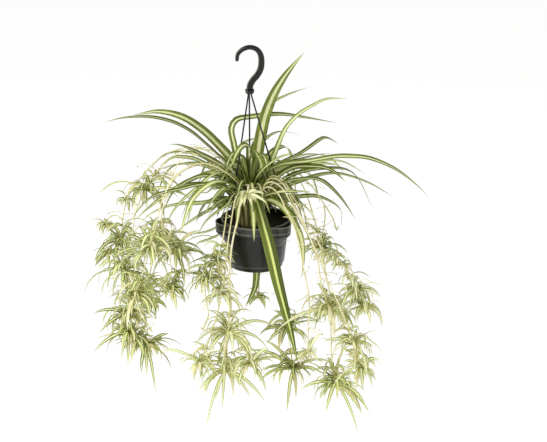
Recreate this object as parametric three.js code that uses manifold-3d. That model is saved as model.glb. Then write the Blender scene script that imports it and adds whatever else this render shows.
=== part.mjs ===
// A spider plant in a black plastic hanging pot: a hook with three legs, the pot with its soil, the
// mother plant, and the runners that arch out of it with their young plants.
// Millimetres, +Z up. The origin is where the hook bears on what it hangs from, at the top of its
// inner curve, and -Y faces the viewer.
import * as THREE from 'three';
import { mergeVertices } from 'three/addons/utils/BufferGeometryUtils.js';
import Module from 'manifold-3d';

const wasm = await Module();
wasm.setup();

// Driving dimensions
const CLEAR = 0.3;
const VIEW_TILT = THREE.MathUtils.degToRad(20);
const POT = {
  x: 5,
  rimTop: -377,
  height: 105,
  rimRadius: 75,
  rimBand: 16,
  rimThick: 6,
  wallRadius: 70.5,
  footRadius: 61,
  baseRadius: 57,
  wall: 1.8,
  floor: 2.5,
  footStep: 3,
  footTop: 12,
  ridge: { height: 5, out: 1.8 },
  sides: 28,
};
// A watering lip at the rim, level by level: [from the pot's axis, radius, below the rim]
const LIP = {
  azimuths: [200, 320, 80],
  levels: [[62, 28, 0], [62, 27, 24], [61, 24, 26], [54, 14, 49]],
  wall: 1.8,
  bridge: 5,
  corners: 10,
};
const SOCKET = { azimuths: { left: 220, right: 340, back: 100 }, radius: 2.1, depth: 10, ring: 72 };
const DRAIN = { count: 6, ring: 40, radius: 4 };
const SOIL_TOP = -389;
const HOOK = { depth: 9, corners: 8, collarRadius: 10, collarTop: -88, collarBottom: -96, x: -8 };
const LEG = { radius: 1.7, corners: 8, spread: 4, bend: 5 };
const CROWN = {
  x: -7,
  y: -6,
  radius: 22,
  topRadius: 18,
  footRadius: 13.2,
  top: -336,
  shoulder: -364,
  waist: -376,
  bottom: -404,
  sides: 9,
};
const RUNNER = { rootRing: 14, rootSink: 8, rootRadius: 1.7, tipRadius: 1.2, sides: 3, step: 46 };
// Where leaves leave the crown, from low on its side for one that leans out to high near the middle
const LEAF_ROOT = { low: 4, climb: 34, outer: 0.95, inward: 0.8 };
// A leaf's width along its rib, its fold, and how long its pieces are
const LEAF = { keel: 1.2, sheath: 0.28, widest: 0.38, taper: 2.4, fold: 0.32, step: 64, least: 4, most: 8 };
const BLADE = { keel: 0.9, root: 0.3, low: 1.1, thin: 0.3, free: 0.6 };
const TUFT = { blades: 3, reach: [11, 17], rise: [-6, 12], width: [2.4, 3.2], lift: 0.25, turn: 0.5 };
const YOUNG = {
  core: { share: 0.15, least: 6, most: 9 },
  link: { radius: 3.4, corners: 5 },
  long: { depth: 30, lift: 0.3, width: [5.4, 7], turn: 0.4 },
  short: {
    spiral: 0.382, stray: 0.12, low: -0.3, high: 0.97, arch: [1.4, 2.2], steepest: 1.6, reach: [0.8, 1.45],
    width: [3, 4.2], broader: 0.035, turn: 0.5, bent: 46,
  },
};
// What a fused solid may be off by where its smallest faces are taken out, tried one after another,
// and how near two corners are taken for one
const FINEST = { off: [0.12, 0.06, 0.03], corner: 1e-4 };

// How many times a leaf or blade is drawn before the place is left empty
const TRIES = { leaf: 10, blade: 14 };
// How much of a leaf's width other things keep away from, for a drawn leaf and for one that stands
const ROOM = { drawn: 0.35, grown: 0.4 };

// The hook's middle line from its tip over the bearing point to the collar, as [x, z, width].
const HOOK_LINE = [
  [-35, -22, 8], [-33, -9, 9], [-25, 0, 9.6], [-12, 6, 10], [0, 5.2, 10.4], [9, 0, 11.4],
  [15, -10, 13], [17, -25, 13.6], [15, -42, 14], [8, -56, 14], [-1, -67, 14], [-7, -79, 14],
  [-8, -89, 14],
];

// Each leaf of the mother plant: its width, its turn about the rib in degrees, and the points of
// its rib after the crown, as [across, drop, depth]: millimetres right of the hook, below it as seen
// from the viewing tilt, and away from the viewer.
const LEAVES = [
  // rising leaves
  {
    width: 22, turn: 55,
    rib: [[3, 265, 3], [16, 177, 20], [27, 132, 30], [45, 89, 42], [69, 51, 52], [107, 4, 60]],
  },
  { width: 11, turn: 20, rib: [[8, 262, 18], [18, 165, 48], [35, 116, 66], [69, 95, 84], [117, 77, 98]] },
  {
    width: 14, turn: 10,
    rib: [[-28, 262, 14], [-40, 200, 35], [-46, 164, 50], [-36, 147, 60], [-5, 141, 68], [55, 135, 76],
      [110, 142, 80], [178, 153, 82]],
  },
  {
    width: 14, turn: 20,
    rib: [[10, 290, 2], [38, 239, 10], [55, 198, 10], [69, 167, 7], [97, 136, 2], [127, 117, -3],
      [154, 104, -8], [197, 102, -14]],
  },
  {
    width: 11, turn: 0,
    rib: [[-22, 265, 22], [-32, 225, 36], [-20, 197, 44], [3, 188, 50], [27, 187, 54], [52, 191, 58]],
  },
  {
    width: 12, turn: 0,
    rib: [[4, 262, 20], [12, 205, 36], [42, 177, 50], [63, 172, 60], [84, 175, 68], [106, 180, 76]],
  },
  {
    width: 20, turn: -45,
    rib: [[14, 275, -10], [17, 245, -26], [8, 222, -40], [-4, 208, -50], [-19, 201, -58],
      [-32, 212, -68], [-50, 253, -78]],
  },
  // leaves arching to the left
  {
    width: 13, turn: -18,
    rib: [[-26, 275, -8], [-80, 219, -25], [-103, 198, -32], [-133, 173, -42], [-171, 153, -52],
      [-220, 142, -62], [-276, 144, -72], [-316, 153, -78]],
  },
  {
    width: 22, turn: -25,
    rib: [[-25, 272, 6], [-50, 230, 15], [-69, 209, 22], [-109, 170, 36], [-152, 142, 50],
      [-201, 130, 64], [-255, 136, 76]],
  },
  {
    width: 15, turn: -35,
    rib: [[-26, 296, -12], [-43, 273, -22], [-67, 247, -35], [-109, 222, -55], [-158, 201, -76],
      [-178, 200, -84]],
  },
  {
    width: 12, turn: -15,
    rib: [[-26, 292, 10], [-70, 250, 34], [-116, 222, 56], [-158, 216, 74], [-182, 219, 84],
      [-201, 228, 92], [-223, 258, 102]],
  },
  {
    width: 13, turn: -32,
    rib: [[-26, 302, -11], [-50, 275, -25], [-80, 253, -48], [-103, 241, -66], [-129, 230, -82],
      [-171, 228, -106], [-199, 247, -120]],
  },
  {
    width: 12, turn: -14,
    rib: [[-24, 305, 18], [-60, 270, 42], [-99, 247, 68], [-148, 241, 98], [-197, 251, 126],
      [-215, 260, 136]],
  },
  {
    width: 16, turn: -20,
    rib: [[-24, 296, 0], [-48, 273, 6], [-71, 262, 11], [-97, 262, 16], [-120, 271, 20],
      [-146, 282, 23], [-189, 309, 27], [-231, 341, 29], [-255, 362, 29]],
  },
  {
    width: 13, turn: -8,
    rib: [[-20, 318, -34], [-44, 300, -62], [-78, 285, -84], [-114, 286, -99], [-154, 295, -114],
      [-199, 305, -128], [-226, 320, -136], [-251, 349, -143], [-259, 364, -145]],
  },
  {
    width: 13, turn: -24,
    rib: [[-26, 322, 12], [-58, 316, 42], [-85, 320, 64], [-114, 325, 82], [-140, 325, 96],
      [-184, 332, 114], [-223, 349, 126], [-250, 375, 132]],
  },
  {
    width: 11, turn: -10,
    rib: [[-26, 304, -8], [-62, 280, -22], [-103, 284, -34], [-135, 305, -42], [-169, 340, -49],
      [-189, 380, -52]],
  },
  {
    width: 15, turn: -5,
    rib: [[-22, 312, -26], [-40, 292, -54], [-63, 280, -78], [-84, 281, -96], [-103, 292, -109],
      [-120, 307, -118], [-133, 326, -124], [-150, 375, -130], [-158, 403, -131]],
  },
  {
    width: 12, turn: -24,
    rib: [[-28, 330, 4], [-52, 326, 14], [-78, 331, 26], [-103, 345, 36], [-148, 373, 52],
      [-180, 403, 60]],
  },
  {
    width: 11, turn: 0,
    rib: [[-22, 330, -30], [-44, 322, -58], [-72, 340, -84], [-99, 362, -98], [-118, 390, -104]],
  },
  {
    width: 10, turn: -28,
    rib: [[-26, 326, 22], [-42, 316, 48], [-60, 336, 70], [-78, 375, 84], [-103, 386, 94],
      [-129, 390, 102], [-152, 403, 108]],
  },
  {
    width: 10, turn: -35,
    rib: [[-18, 322, 28], [-30, 308, 60], [-44, 335, 86], [-60, 382, 100], [-99, 403, 114],
      [-118, 409, 120], [-140, 443, 126]],
  },
  {
    width: 11, turn: -35,
    rib: [[-8, 318, 32], [-14, 300, 64], [-22, 325, 92], [-30, 375, 108], [-63, 426, 120],
      [-96, 437, 128], [-125, 447, 133], [-152, 462, 137]],
  },
  // leaves arching to the right
  {
    width: 14, turn: 18,
    rib: [[16, 270, -26], [56, 244, -52], [116, 236, -74], [178, 226, -92], [212, 226, -100],
      [246, 230, -107], [301, 253, -118], [350, 290, -125], [371, 312, -127]],
  },
  {
    width: 15, turn: 16,
    rib: [[20, 275, 10], [56, 241, 27], [88, 237, 42], [122, 239, 57], [158, 240, 72], [189, 244, 84]],
  },
  {
    width: 19, turn: 28,
    rib: [[20, 300, -20], [56, 266, -44], [88, 249, -62], [122, 247, -80], [152, 250, -95],
      [174, 260, -104], [195, 279, -112]],
  },
  {
    width: 14, turn: 12,
    rib: [[22, 308, 8], [50, 296, 26], [78, 286, 42], [129, 268, 66], [158, 262, 78], [189, 263, 88],
      [250, 283, 106], [299, 311, 118]],
  },
  {
    width: 14, turn: 10,
    rib: [[18, 308, -26], [45, 290, -50], [69, 280, -70], [101, 274, -92], [127, 273, -107],
      [148, 279, -117], [186, 315, -131], [216, 358, -138]],
  },
  {
    width: 12, turn: 24,
    rib: [[20, 322, 12], [45, 314, 36], [70, 311, 58], [93, 311, 76], [127, 309, 98], [152, 315, 110],
      [186, 339, 124], [186, 381, 130]],
  },
  {
    width: 12, turn: 14,
    rib: [[10, 266, 18], [35, 250, 32], [63, 234, 45], [96, 220, 60], [116, 208, 69], [135, 194, 77],
      [152, 185, 83], [181, 197, 92]],
  },
  { width: 12, turn: 40, rib: [[6, 275, -30], [30, 245, -58], [60, 226, -80], [91, 217, -96]] },
  {
    width: 11, turn: 8,
    rib: [[16, 275, 26], [50, 250, 52], [80, 236, 74], [109, 228, 93], [137, 221, 110], [171, 217, 128]],
  },
  {
    width: 9, turn: 16,
    rib: [[22, 284, -4], [60, 257, -2], [110, 243, -6], [150, 235, -12], [189, 236, -18],
      [238, 262, -24]],
  },
  {
    width: 14, turn: 25,
    rib: [[14, 325, -30], [36, 318, -52], [64, 336, -70], [88, 368, -78], [101, 400, -81],
      [105, 430, -82], [105, 460, -82], [103, 481, -81]],
  },
  {
    width: 12, turn: 35,
    rib: [[20, 325, 14], [44, 316, 30], [70, 328, 44], [101, 366, 58], [118, 400, 64], [134, 443, 68]],
  },
  {
    width: 11, turn: 12,
    rib: [[18, 326, 2], [50, 312, 10], [75, 312, 16], [97, 322, 20], [120, 343, 24], [131, 366, 26]],
  },
  { width: 10, turn: 32, rib: [[14, 316, -36], [46, 303, -68], [85, 300, -98], [122, 300, -120]] },
  {
    width: 11, turn: 8,
    rib: [[14, 302, 22], [38, 286, 54], [67, 273, 84], [84, 266, 100], [103, 259, 116], [120, 264, 130]],
  },
  // leaves hanging over the front and the back of the rim
  {
    width: 29, turn: 42,
    rib: [[0, 300, -30], [5, 311, -48], [14, 340, -72], [23, 373, -88], [33, 409, -98],
      [42, 447, -106], [53, 496, -112], [65, 543, -116], [78, 592, -119], [95, 669, -122]],
  },
  {
    width: 15, turn: 0,
    rib: [[6, 314, 30], [12, 296, 62], [16, 312, 90], [15, 350, 104], [11, 410, 108], [8, 455, 107],
      [3, 507, 104], [-18, 547, 100]],
  },
];

// Leaves drawn by rule where the viewer doesn't count them: behind the crown, and short ones round it.
const DRAWN_LEAVES = [
  {
    count: 8, seed: 11, from: 22, to: 158, reach: [190, 300], rise: [95, 125], fall: [60, 160],
    width: [12, 17], turn: [-20, 20],
  },
  {
    count: 5, seed: 47, from: 180, to: 360, reach: [75, 130], rise: [62, 92], fall: [20, 60],
    width: [9, 13], turn: [-20, 20],
  },
];
// The arch of a drawn leaf: how far along its reach, and how high of its rise
const DRAWN_ARCH = [[0.1, 0.55], [0.32, 0.95], [0.58, 1], [0.82, 0.8]];

// Each runner: the points of its stems, as above, the small tufts of bracts fused to it, and its
// young plants. A spot is [stem, point]; a young plant has a size, a number of leaves drawn by rule,
// and the tips, as [across, drop], of the long leaves that show. Several spots make one clump.
const RUNNERS = [
  {
    name: 'left_over', seed: 1, root: 192,
    stems: [
      [[-22, 300, -10], [-46, 257, -22], [-82, 236, -46], [-116, 222, -60], [-154, 234, -68],
        [-176, 277, -72], [-186, 315, -72], [-195, 350, -72], [-188, 390, -69], [-163, 430, -66],
        [-166, 468, -62], [-174, 503, -60], [-222, 537, -56]],
    ],
    tufts: [[0, 5]],
    young: [
      { spots: [[0, 9]], size: 55, leaves: 8, tips: [] },
      { spots: [[0, 11]], size: 42, leaves: 7, tips: [[-144, 535]] },
      { spots: [[0, 12]], size: 30, leaves: 6, tips: [] },
    ],
  },
  {
    name: 'left_column', seed: 2, root: 172,
    stems: [
      [[-14, 298, 6], [-40, 246, 26], [-90, 212, 44], [-150, 214, 52], [-200, 250, 54],
        [-231, 296, 54], [-252, 345, 46], [-259, 395, 34], [-266, 432, 22], [-278, 469, 12],
        [-264, 515, 6], [-267, 562, 2], [-267, 601, 0], [-245, 620, 2], [-229, 632, 4]],
    ],
    tufts: [[0, 7], [0, 10]],
    young: [
      { spots: [[0, 5]], size: 55, leaves: 9, tips: [] },
      { spots: [[0, 9]], size: 68, leaves: 10, tips: [] },
      { spots: [[0, 11]], size: 52, leaves: 9, tips: [[-343, 560], [-329, 601]] },
      {
        spots: [[0, 12], [0, 13], [0, 14]], size: 46, leaves: 5,
        tips: [[-343, 643], [-180, 603], [-282, 652], [-189, 613], [-210, 731], [-229, 694], [-269, 673]],
      },
    ],
  },
  {
    name: 'left_outer', seed: 3, root: 152,
    stems: [
      [[-12, 298, 14], [-60, 240, 50], [-120, 205, 80], [-190, 222, 98], [-240, 268, 104],
        [-271, 317, 104], [-280, 360, 100], [-286, 409, 92], [-298, 425, 86], [-311, 432, 82]],
      [[-280, 360, 100], [-293, 350, 104], [-309, 354, 107], [-316, 371, 108]],
    ],
    tufts: [[0, 6]],
    young: [
      { spots: [[0, 5]], size: 23, leaves: 6, tips: [] },
      { spots: [[0, 7]], size: 55, leaves: 8, tips: [] },
      { spots: [[0, 9]], size: 30, leaves: 6, tips: [[-340, 460]] },
      { spots: [[1, 3]], size: 28, leaves: 7, tips: [] },
    ],
  },
  {
    name: 'left_inner', seed: 4, root: 207,
    stems: [
      [[-18, 304, -24], [-60, 258, -66], [-110, 240, -98], [-160, 262, -118], [-190, 310, -128],
        [-206, 370, -130], [-220, 426, -128], [-238, 480, -122], [-250, 522, -116], [-236, 565, -112],
        [-218, 592, -110]],
    ],
    tufts: [[0, 10]],
    young: [
      { spots: [[0, 6]], size: 64, leaves: 11, tips: [] },
      { spots: [[0, 8]], size: 55, leaves: 9, tips: [] },
    ],
  },
  {
    name: 'left_back', seed: 5, root: 132,
    stems: [
      [[-10, 298, 20], [-50, 258, 70], [-100, 240, 112], [-160, 262, 140], [-190, 320, 152],
        [-205, 400, 156], [-222, 470, 154], [-232, 520, 152]],
    ],
    tufts: [],
    young: [
      { spots: [[0, 5]], size: 55, leaves: 8, tips: [] },
      { spots: [[0, 7]], size: 46, leaves: 7, tips: [] },
    ],
  },
  {
    name: 'front_main', seed: 6, root: 250,
    stems: [
      [[-14, 308, -36], [-20, 298, -60], [-26, 314, -84], [-33, 356, -100], [-42, 394, -106],
        [-47, 424, -108], [-51, 483, -109], [-50, 513, -110], [-48, 541, -110], [-52, 572, -110],
        [-54, 601, -110], [-58, 640, -110], [-61, 682, -110]],
      [[-54, 601, -110], [-33, 612, -116], [-15, 638, -120], [-7, 667, -122]],
    ],
    tufts: [[0, 7]],
    young: [
      { spots: [[0, 10]], size: 60, leaves: 10, tips: [[-97, 594], [22, 620], [-78, 673], [-14, 645]] },
      {
        spots: [[0, 12]], size: 56, leaves: 7,
        tips: [[27, 750], [-5, 741], [-103, 809], [-67, 767], [-82, 748], [-120, 728]],
      },
      { spots: [[1, 3]], size: 45, leaves: 6, tips: [[35, 633], [-37, 737], [16, 707]] },
    ],
  },
  {
    name: 'front_side', seed: 7, root: 236,
    stems: [
      [[-19, 312, -32], [-30, 300, -54], [-39, 318, -78], [-46, 356, -94], [-52, 394, -99],
        [-56, 424, -101], [-61, 470, -102], [-68, 520, -103], [-80, 570, -104], [-98, 625, -104],
        [-115, 667, -104]],
    ],
    tufts: [[0, 8]],
    young: [
      { spots: [[0, 10]], size: 38, leaves: 7, tips: [[-200, 639]] },
      { spots: [[0, 7]], size: 38, leaves: 6, tips: [[-114, 540]] },
    ],
  },
  {
    name: 'front_left', seed: 8, root: 222,
    stems: [
      [[-23, 314, -26], [-38, 302, -46], [-53, 326, -69], [-60, 370, -84], [-67, 410, -90],
        [-78, 449, -92], [-93, 466, -92], [-102, 487, -92], [-102, 522, -92], [-96, 562, -92],
        [-108, 594, -92]],
    ],
    tufts: [[0, 10]],
    young: [
      { spots: [[0, 5]], size: 40, leaves: 7, tips: [] },
      { spots: [[0, 7]], size: 45, leaves: 8, tips: [] },
    ],
  },
  {
    name: 'front_short', seed: 9, root: 264,
    stems: [
      [[-9, 306, -38], [-10, 287, -74], [-11, 288, -104], [-13, 306, -122]],
    ],
    tufts: [],
    young: [
      {
        spots: [[0, 3]], size: 24, leaves: 4,
        tips: [[-29, 317], [-29, 334], [7, 296], [24, 305], [29, 326], [-3, 332]],
      },
    ],
  },
  {
    name: 'right_out', seed: 10, root: 340,
    stems: [
      [[22, 288, -18], [40, 266, -40], [61, 274, -56], [84, 311, -70], [111, 351, -78],
        [122, 375, -81], [137, 405, -84], [151, 432, -86], [174, 441, -88], [190, 456, -88],
        [206, 482, -88], [220, 509, -88], [233, 545, -86]],
    ],
    tufts: [[0, 5]],
    young: [
      { spots: [[0, 7], [0, 8], [0, 9]], size: 26, leaves: 4, tips: [] },
      { spots: [[0, 11]], size: 42, leaves: 6, tips: [[197, 481], [267, 522]] },
      { spots: [[0, 12]], size: 44, leaves: 6, tips: [[267, 549], [220, 575]] },
    ],
  },
  {
    name: 'right_main', seed: 11, root: 326,
    stems: [
      [[19, 292, -26], [40, 271, -56], [62, 282, -76], [82, 318, -90], [102, 355, -98],
        [116, 387, -102], [128, 420, -104], [138, 450, -105], [142, 483, -105], [150, 518, -105],
        [161, 552, -104], [165, 600, -104], [166, 648, -104], [170, 680, -104], [174, 709, -104]],
    ],
    tufts: [[0, 8], [0, 12]],
    young: [
      { spots: [[0, 10]], size: 58, leaves: 12, tips: [] },
      {
        spots: [[0, 14]], size: 58, leaves: 8,
        tips: [[99, 722], [142, 741], [154, 771], [224, 816], [227, 767], [250, 773], [220, 718], [178, 667]],
      },
    ],
  },
  {
    name: 'right_low', seed: 12, root: 312,
    stems: [
      [[16, 297, -33], [38, 279, -70], [62, 294, -96], [84, 332, -112], [106, 370, -120],
        [124, 406, -125], [142, 450, -128], [161, 496, -129], [182, 540, -129], [200, 585, -128],
        [214, 626, -127], [224, 650, -126], [229, 675, -125]],
    ],
    tufts: [[0, 7], [0, 9]],
    young: [
      { spots: [[0, 10]], size: 48, leaves: 8, tips: [[220, 590], [256, 630], [148, 618]] },
      { spots: [[0, 12]], size: 44, leaves: 6, tips: [[262, 703], [233, 722], [193, 660]] },
    ],
  },
  {
    name: 'right_inner', seed: 13, root: 298,
    stems: [
      [[13, 303, -38], [34, 290, -80], [54, 306, -110], [70, 340, -126], [88, 380, -134],
        [100, 425, -138], [109, 475, -139], [118, 522, -139], [117, 580, -138], [115, 643, -136]],
    ],
    tufts: [[0, 7]],
    young: [{ spots: [[0, 9]], size: 32, leaves: 6, tips: [[150, 599]] }],
  },
  {
    name: 'right_short', seed: 14, root: 15,
    stems: [
      [[8, 298, 8], [38, 258, 32], [80, 252, 52], [120, 283, 62], [150, 325, 64], [170, 358, 62],
        [178, 383, 58]],
      [[150, 325, 64], [153, 350, 56], [148, 385, 50], [137, 411, 46]],
    ],
    tufts: [[0, 6], [1, 3]],
    young: [],
  },
  {
    name: 'right_back', seed: 15, root: 50,
    stems: [
      [[4, 298, 20], [30, 258, 66], [65, 248, 106], [100, 278, 136], [125, 340, 152], [145, 420, 158],
        [160, 500, 156], [175, 560, 154]],
    ],
    tufts: [],
    young: [
      { spots: [[0, 5]], size: 42, leaves: 7, tips: [] },
      { spots: [[0, 7]], size: 50, leaves: 7, tips: [] },
    ],
  },
  {
    name: 'back_low', seed: 16, root: 104,
    stems: [
      [[-4, 296, 24], [-4, 276, 62], [0, 296, 98], [4, 360, 120], [8, 430, 124], [11, 490, 122],
        [11, 526, 120]],
    ],
    tufts: [],
    young: [{ spots: [[0, 6]], size: 28, leaves: 6, tips: [] }],
  },
  {
    name: 'back_side', seed: 17, root: 80,
    stems: [
      [[6, 298, 26], [24, 274, 64], [42, 298, 98], [50, 360, 114], [52, 430, 116], [56, 496, 114],
        [66, 545, 110], [73, 594, 106], [80, 640, 102], [84, 682, 100]],
    ],
    tufts: [],
    young: [
      { spots: [[0, 7]], size: 46, leaves: 6, tips: [[15, 601], [27, 628], [97, 560]] },
      { spots: [[0, 9]], size: 50, leaves: 6, tips: [[14, 684], [-11, 640], [71, 775], [148, 688]] },
    ],
  },
];

// Materials, one look for each thing that the object is made of
const plastic = new THREE.MeshStandardMaterial({ color: '#2d2c2a', roughness: 0.42, metalness: 0 });
const compost = new THREE.MeshStandardMaterial({ color: '#1d160f', roughness: 0.95, metalness: 0 });
const leafGreen = new THREE.MeshStandardMaterial({ color: '#71873a', roughness: 0.5, metalness: 0 });
const youngGreen = new THREE.MeshStandardMaterial({ color: '#c3c974', roughness: 0.55, metalness: 0 });
const straw = new THREE.MeshStandardMaterial({ color: '#dcc594', roughness: 0.7, metalness: 0 });

const plant = new THREE.Group();

function addPart(name, solid, material) {
  const made = solid.getMesh();
  const geometry = new THREE.BufferGeometry();
  geometry.setAttribute('position', new THREE.BufferAttribute(new Float32Array(made.vertProperties), 3));
  geometry.setIndex(new THREE.BufferAttribute(new Uint32Array(made.triVerts), 1));
  geometry.computeVertexNormals();
  const mesh = new THREE.Mesh(geometry, material);
  mesh.name = name;
  plant.add(mesh);
}

function solidFrom(geometry) {
  const bare = geometry.clone();
  bare.deleteAttribute('normal');
  bare.deleteAttribute('uv');
  const merged = mergeVertices(bare, 1e-4);
  return new wasm.Manifold(new wasm.Mesh({
    numProp: 3,
    vertProperties: new Float32Array(merged.attributes.position.array),
    triVerts: new Uint32Array(merged.index.array),
  }));
}

function joined(solids) {
  return wasm.Manifold.union(solids);
}

function largestBody(solid) {
  return solid.decompose().reduce((a, b) => (b.volume() > a.volume() ? b : a));
}

// Whether each edge of a solid joins just two of its faces
function hasPlainEdges(solid) {
  const { vertProperties, triVerts } = solid.getMesh();
  const corners = Array.from({ length: vertProperties.length / 3 }, (_, v) => (
    [0, 1, 2].map((k) => Math.round(vertProperties[3 * v + k] / FINEST.corner)).join()
  ));
  const uses = new Map();
  triVerts.forEach((vertex, i) => {
    const next = triVerts[i % 3 === 2 ? i - 2 : i + 1];
    const edge = [corners[vertex], corners[next]].sort().join(' ');
    uses.set(edge, (uses.get(edge) || 0) + 1);
  });
  return [...uses.values()].every((count) => count === 2);
}

// The one body of a fused solid, without the smallest faces that fusing leaves
function grownBody(solid) {
  const whole = largestBody(solid);
  const eased = FINEST.off.map((off) => largestBody(whole.asOriginal().simplify(off)));
  return eased.find(hasPlainEdges) || whole;
}

// A closed solid through rings of points, each ring fanned from its first point at a flat end. A last
// ring of one point makes a tip. The split of each quad turns with its side, so that the two faces of
// a thin blade fold along the same lines.
function loft(rings) {
  const sides = rings[0].length;
  const points = rings.flat();
  const faces = [];
  for (let k = 1; k < sides - 1; k += 1) {
    faces.push(0, k + 1, k);
  }
  rings.slice(1).forEach((ring, i) => {
    const low = i * sides;
    const high = low + sides;
    for (let k = 0; k < sides; k += 1) {
      const next = (k + 1) % sides;
      if (ring.length === 1) {
        faces.push(low + k, low + next, high);
      } else if (k % 2 === 0) {
        faces.push(low + k, low + next, high + next, low + k, high + next, high + k);
      } else {
        faces.push(low + k, low + next, high + k, low + next, high + next, high + k);
      }
    }
  });
  if (rings.at(-1).length > 1) {
    const top = points.length - sides;
    for (let k = 1; k < sides - 1; k += 1) {
      faces.push(top, top + k, top + k + 1);
    }
  }
  return new wasm.Manifold(new wasm.Mesh({
    numProp: 3,
    vertProperties: new Float32Array(points.flatMap((point) => point.toArray())),
    triVerts: new Uint32Array(faces),
  }));
}

// Seeded draws, the same for the same seed
function draws(seed) {
  let state = (seed * 2654435761 + 12345) % 4294967296;
  return (low, high) => {
    state = (state * 1664525 + 1013904223) % 4294967296;
    return low + (high - low) * state / 4294967296;
  };
}

// A place from how far it lies across, below the hook in the tilted view, and away in depth
function place([across, drop, depth]) {
  const up = (-drop - depth * Math.sin(VIEW_TILT)) / Math.cos(VIEW_TILT);
  return new THREE.Vector3(across, depth, up);
}

function around(azimuth, radius, z) {
  const angle = THREE.MathUtils.degToRad(azimuth);
  return new THREE.Vector3(POT.x + radius * Math.cos(angle), radius * Math.sin(angle), z);
}

// The way a line runs at one of its points
function runAt(line, i) {
  const next = line[Math.min(i + 1, line.length - 1)];
  return next.clone().sub(line[Math.max(i - 1, 0)]).normalize();
}

// What is left of one direction across another
function across(direction, ahead) {
  return direction.clone().addScaledVector(ahead, -direction.dot(ahead)).normalize();
}

function lengthOf(line) {
  return line.slice(1).reduce((sum, point, k) => sum + point.distanceTo(line[k]), 0);
}

// The hanger: a hook of oval section with a round collar at its foot
function makeHook() {
  const line = HOOK_LINE.map(([x, z]) => new THREE.Vector3(x, 0, z));
  const rings = line.map((point, i) => {
    const ahead = runAt(line, i);
    const inward = new THREE.Vector3(-ahead.z, 0, ahead.x);
    const width = HOOK_LINE[i][2];
    return Array.from({ length: HOOK.corners }, (_, k) => {
      const angle = (k + 0.5) * 2 * Math.PI / HOOK.corners;
      return point.clone()
        .addScaledVector(inward, 0.5 * width * Math.cos(angle))
        .add(new THREE.Vector3(0, -0.5 * HOOK.depth * Math.sin(angle), 0));
    });
  });
  const height = HOOK.collarTop - HOOK.collarBottom;
  const collar = new THREE.CylinderGeometry(
    HOOK.collarRadius, HOOK.collarRadius - 1, height, 2 * HOOK.corners,
  );
  collar.rotateX(Math.PI / 2);
  collar.translate(HOOK.x, 0, (HOOK.collarTop + HOOK.collarBottom) / 2);
  return loft(rings).add(solidFrom(collar));
}

// A round bar through points, thinning from one radius to another, with flat ends
function bar(points, rootRadius, tipRadius, sides) {
  let side = sideways(runAt(points, 0));
  const rings = points.map((point, i) => {
    const ahead = runAt(points, i);
    side = across(side, ahead);
    const other = new THREE.Vector3().crossVectors(ahead, side);
    const radius = THREE.MathUtils.lerp(rootRadius, tipRadius, i / (points.length - 1));
    return Array.from({ length: sides }, (_, k) => {
      const angle = k * 2 * Math.PI / sides;
      return point.clone()
        .addScaledVector(side, radius * Math.cos(angle))
        .addScaledVector(other, radius * Math.sin(angle));
    });
  });
  return loft(rings);
}

function sideways(ahead) {
  const flat = new THREE.Vector3(ahead.y, -ahead.x, 0);
  return flat.length() > 1e-3 ? flat.normalize() : new THREE.Vector3(1, 0, 0);
}

// One leg of the hanger: down out of the collar, straight to above its socket in the rim, and into it
function legPoints(azimuth) {
  const start = new THREE.Vector3(HOOK.x, 0, HOOK.collarBottom - CLEAR)
    .add(around(azimuth, LEG.spread, 0))
    .sub(new THREE.Vector3(POT.x, 0, 0));
  return [
    start,
    start.clone().setZ(start.z - LEG.bend),
    around(azimuth, SOCKET.ring, POT.rimTop + LEG.bend),
    around(azimuth, SOCKET.ring, POT.rimTop),
    around(azimuth, SOCKET.ring, POT.rimTop - SOCKET.depth + CLEAR),
  ];
}

function lathe(profile) {
  const outline = profile.map(([radius, z]) => new THREE.Vector2(radius, z));
  const geometry = new THREE.LatheGeometry(outline, POT.sides);
  geometry.rotateX(Math.PI / 2);
  geometry.translate(POT.x, 0, 0);
  return solidFrom(geometry);
}

// A watering lip is a round pocket at the rim that narrows down into the wall. A shrink makes its
// hollow, which runs out past the rim.
function lipShape(azimuth, shrink) {
  const rings = LIP.levels.map(([offset, radius, below]) => {
    const inset = below === 0 ? Math.min(shrink, 1) : shrink;
    const middle = around(azimuth, offset, POT.rimTop - below + inset);
    return Array.from({ length: LIP.corners }, (_, k) => {
      const angle = -k * 2 * Math.PI / LIP.corners + THREE.MathUtils.degToRad(azimuth);
      return middle.clone().add(
        new THREE.Vector3(Math.cos(angle), Math.sin(angle), 0).multiplyScalar(radius - shrink),
      );
    });
  });
  return loft(rings);
}

// The inside of the pot, shrunk a little for the soil that fills it
function potInside(top, shrink) {
  const base = POT.rimTop - POT.height;
  const bandFoot = POT.rimTop - POT.rimBand;
  const inner = [
    [0, base + POT.floor + shrink],
    [POT.baseRadius - POT.wall - shrink, base + POT.floor + shrink],
    [POT.footRadius - POT.wall - shrink, base + POT.footTop - 1],
    [POT.wallRadius - POT.wall - shrink, bandFoot],
    [POT.rimRadius - POT.rimThick - shrink, bandFoot + 1],
    [POT.rimRadius - POT.rimThick - shrink, top],
    [0, top],
  ];
  const lips = LIP.azimuths.map((azimuth) => lipShape(azimuth, LIP.wall + shrink));
  const above = new THREE.BoxGeometry(400, 400, 100);
  above.translate(0, 0, top + 50);
  return joined([lathe(inner), ...lips]).subtract(solidFrom(above));
}

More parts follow.
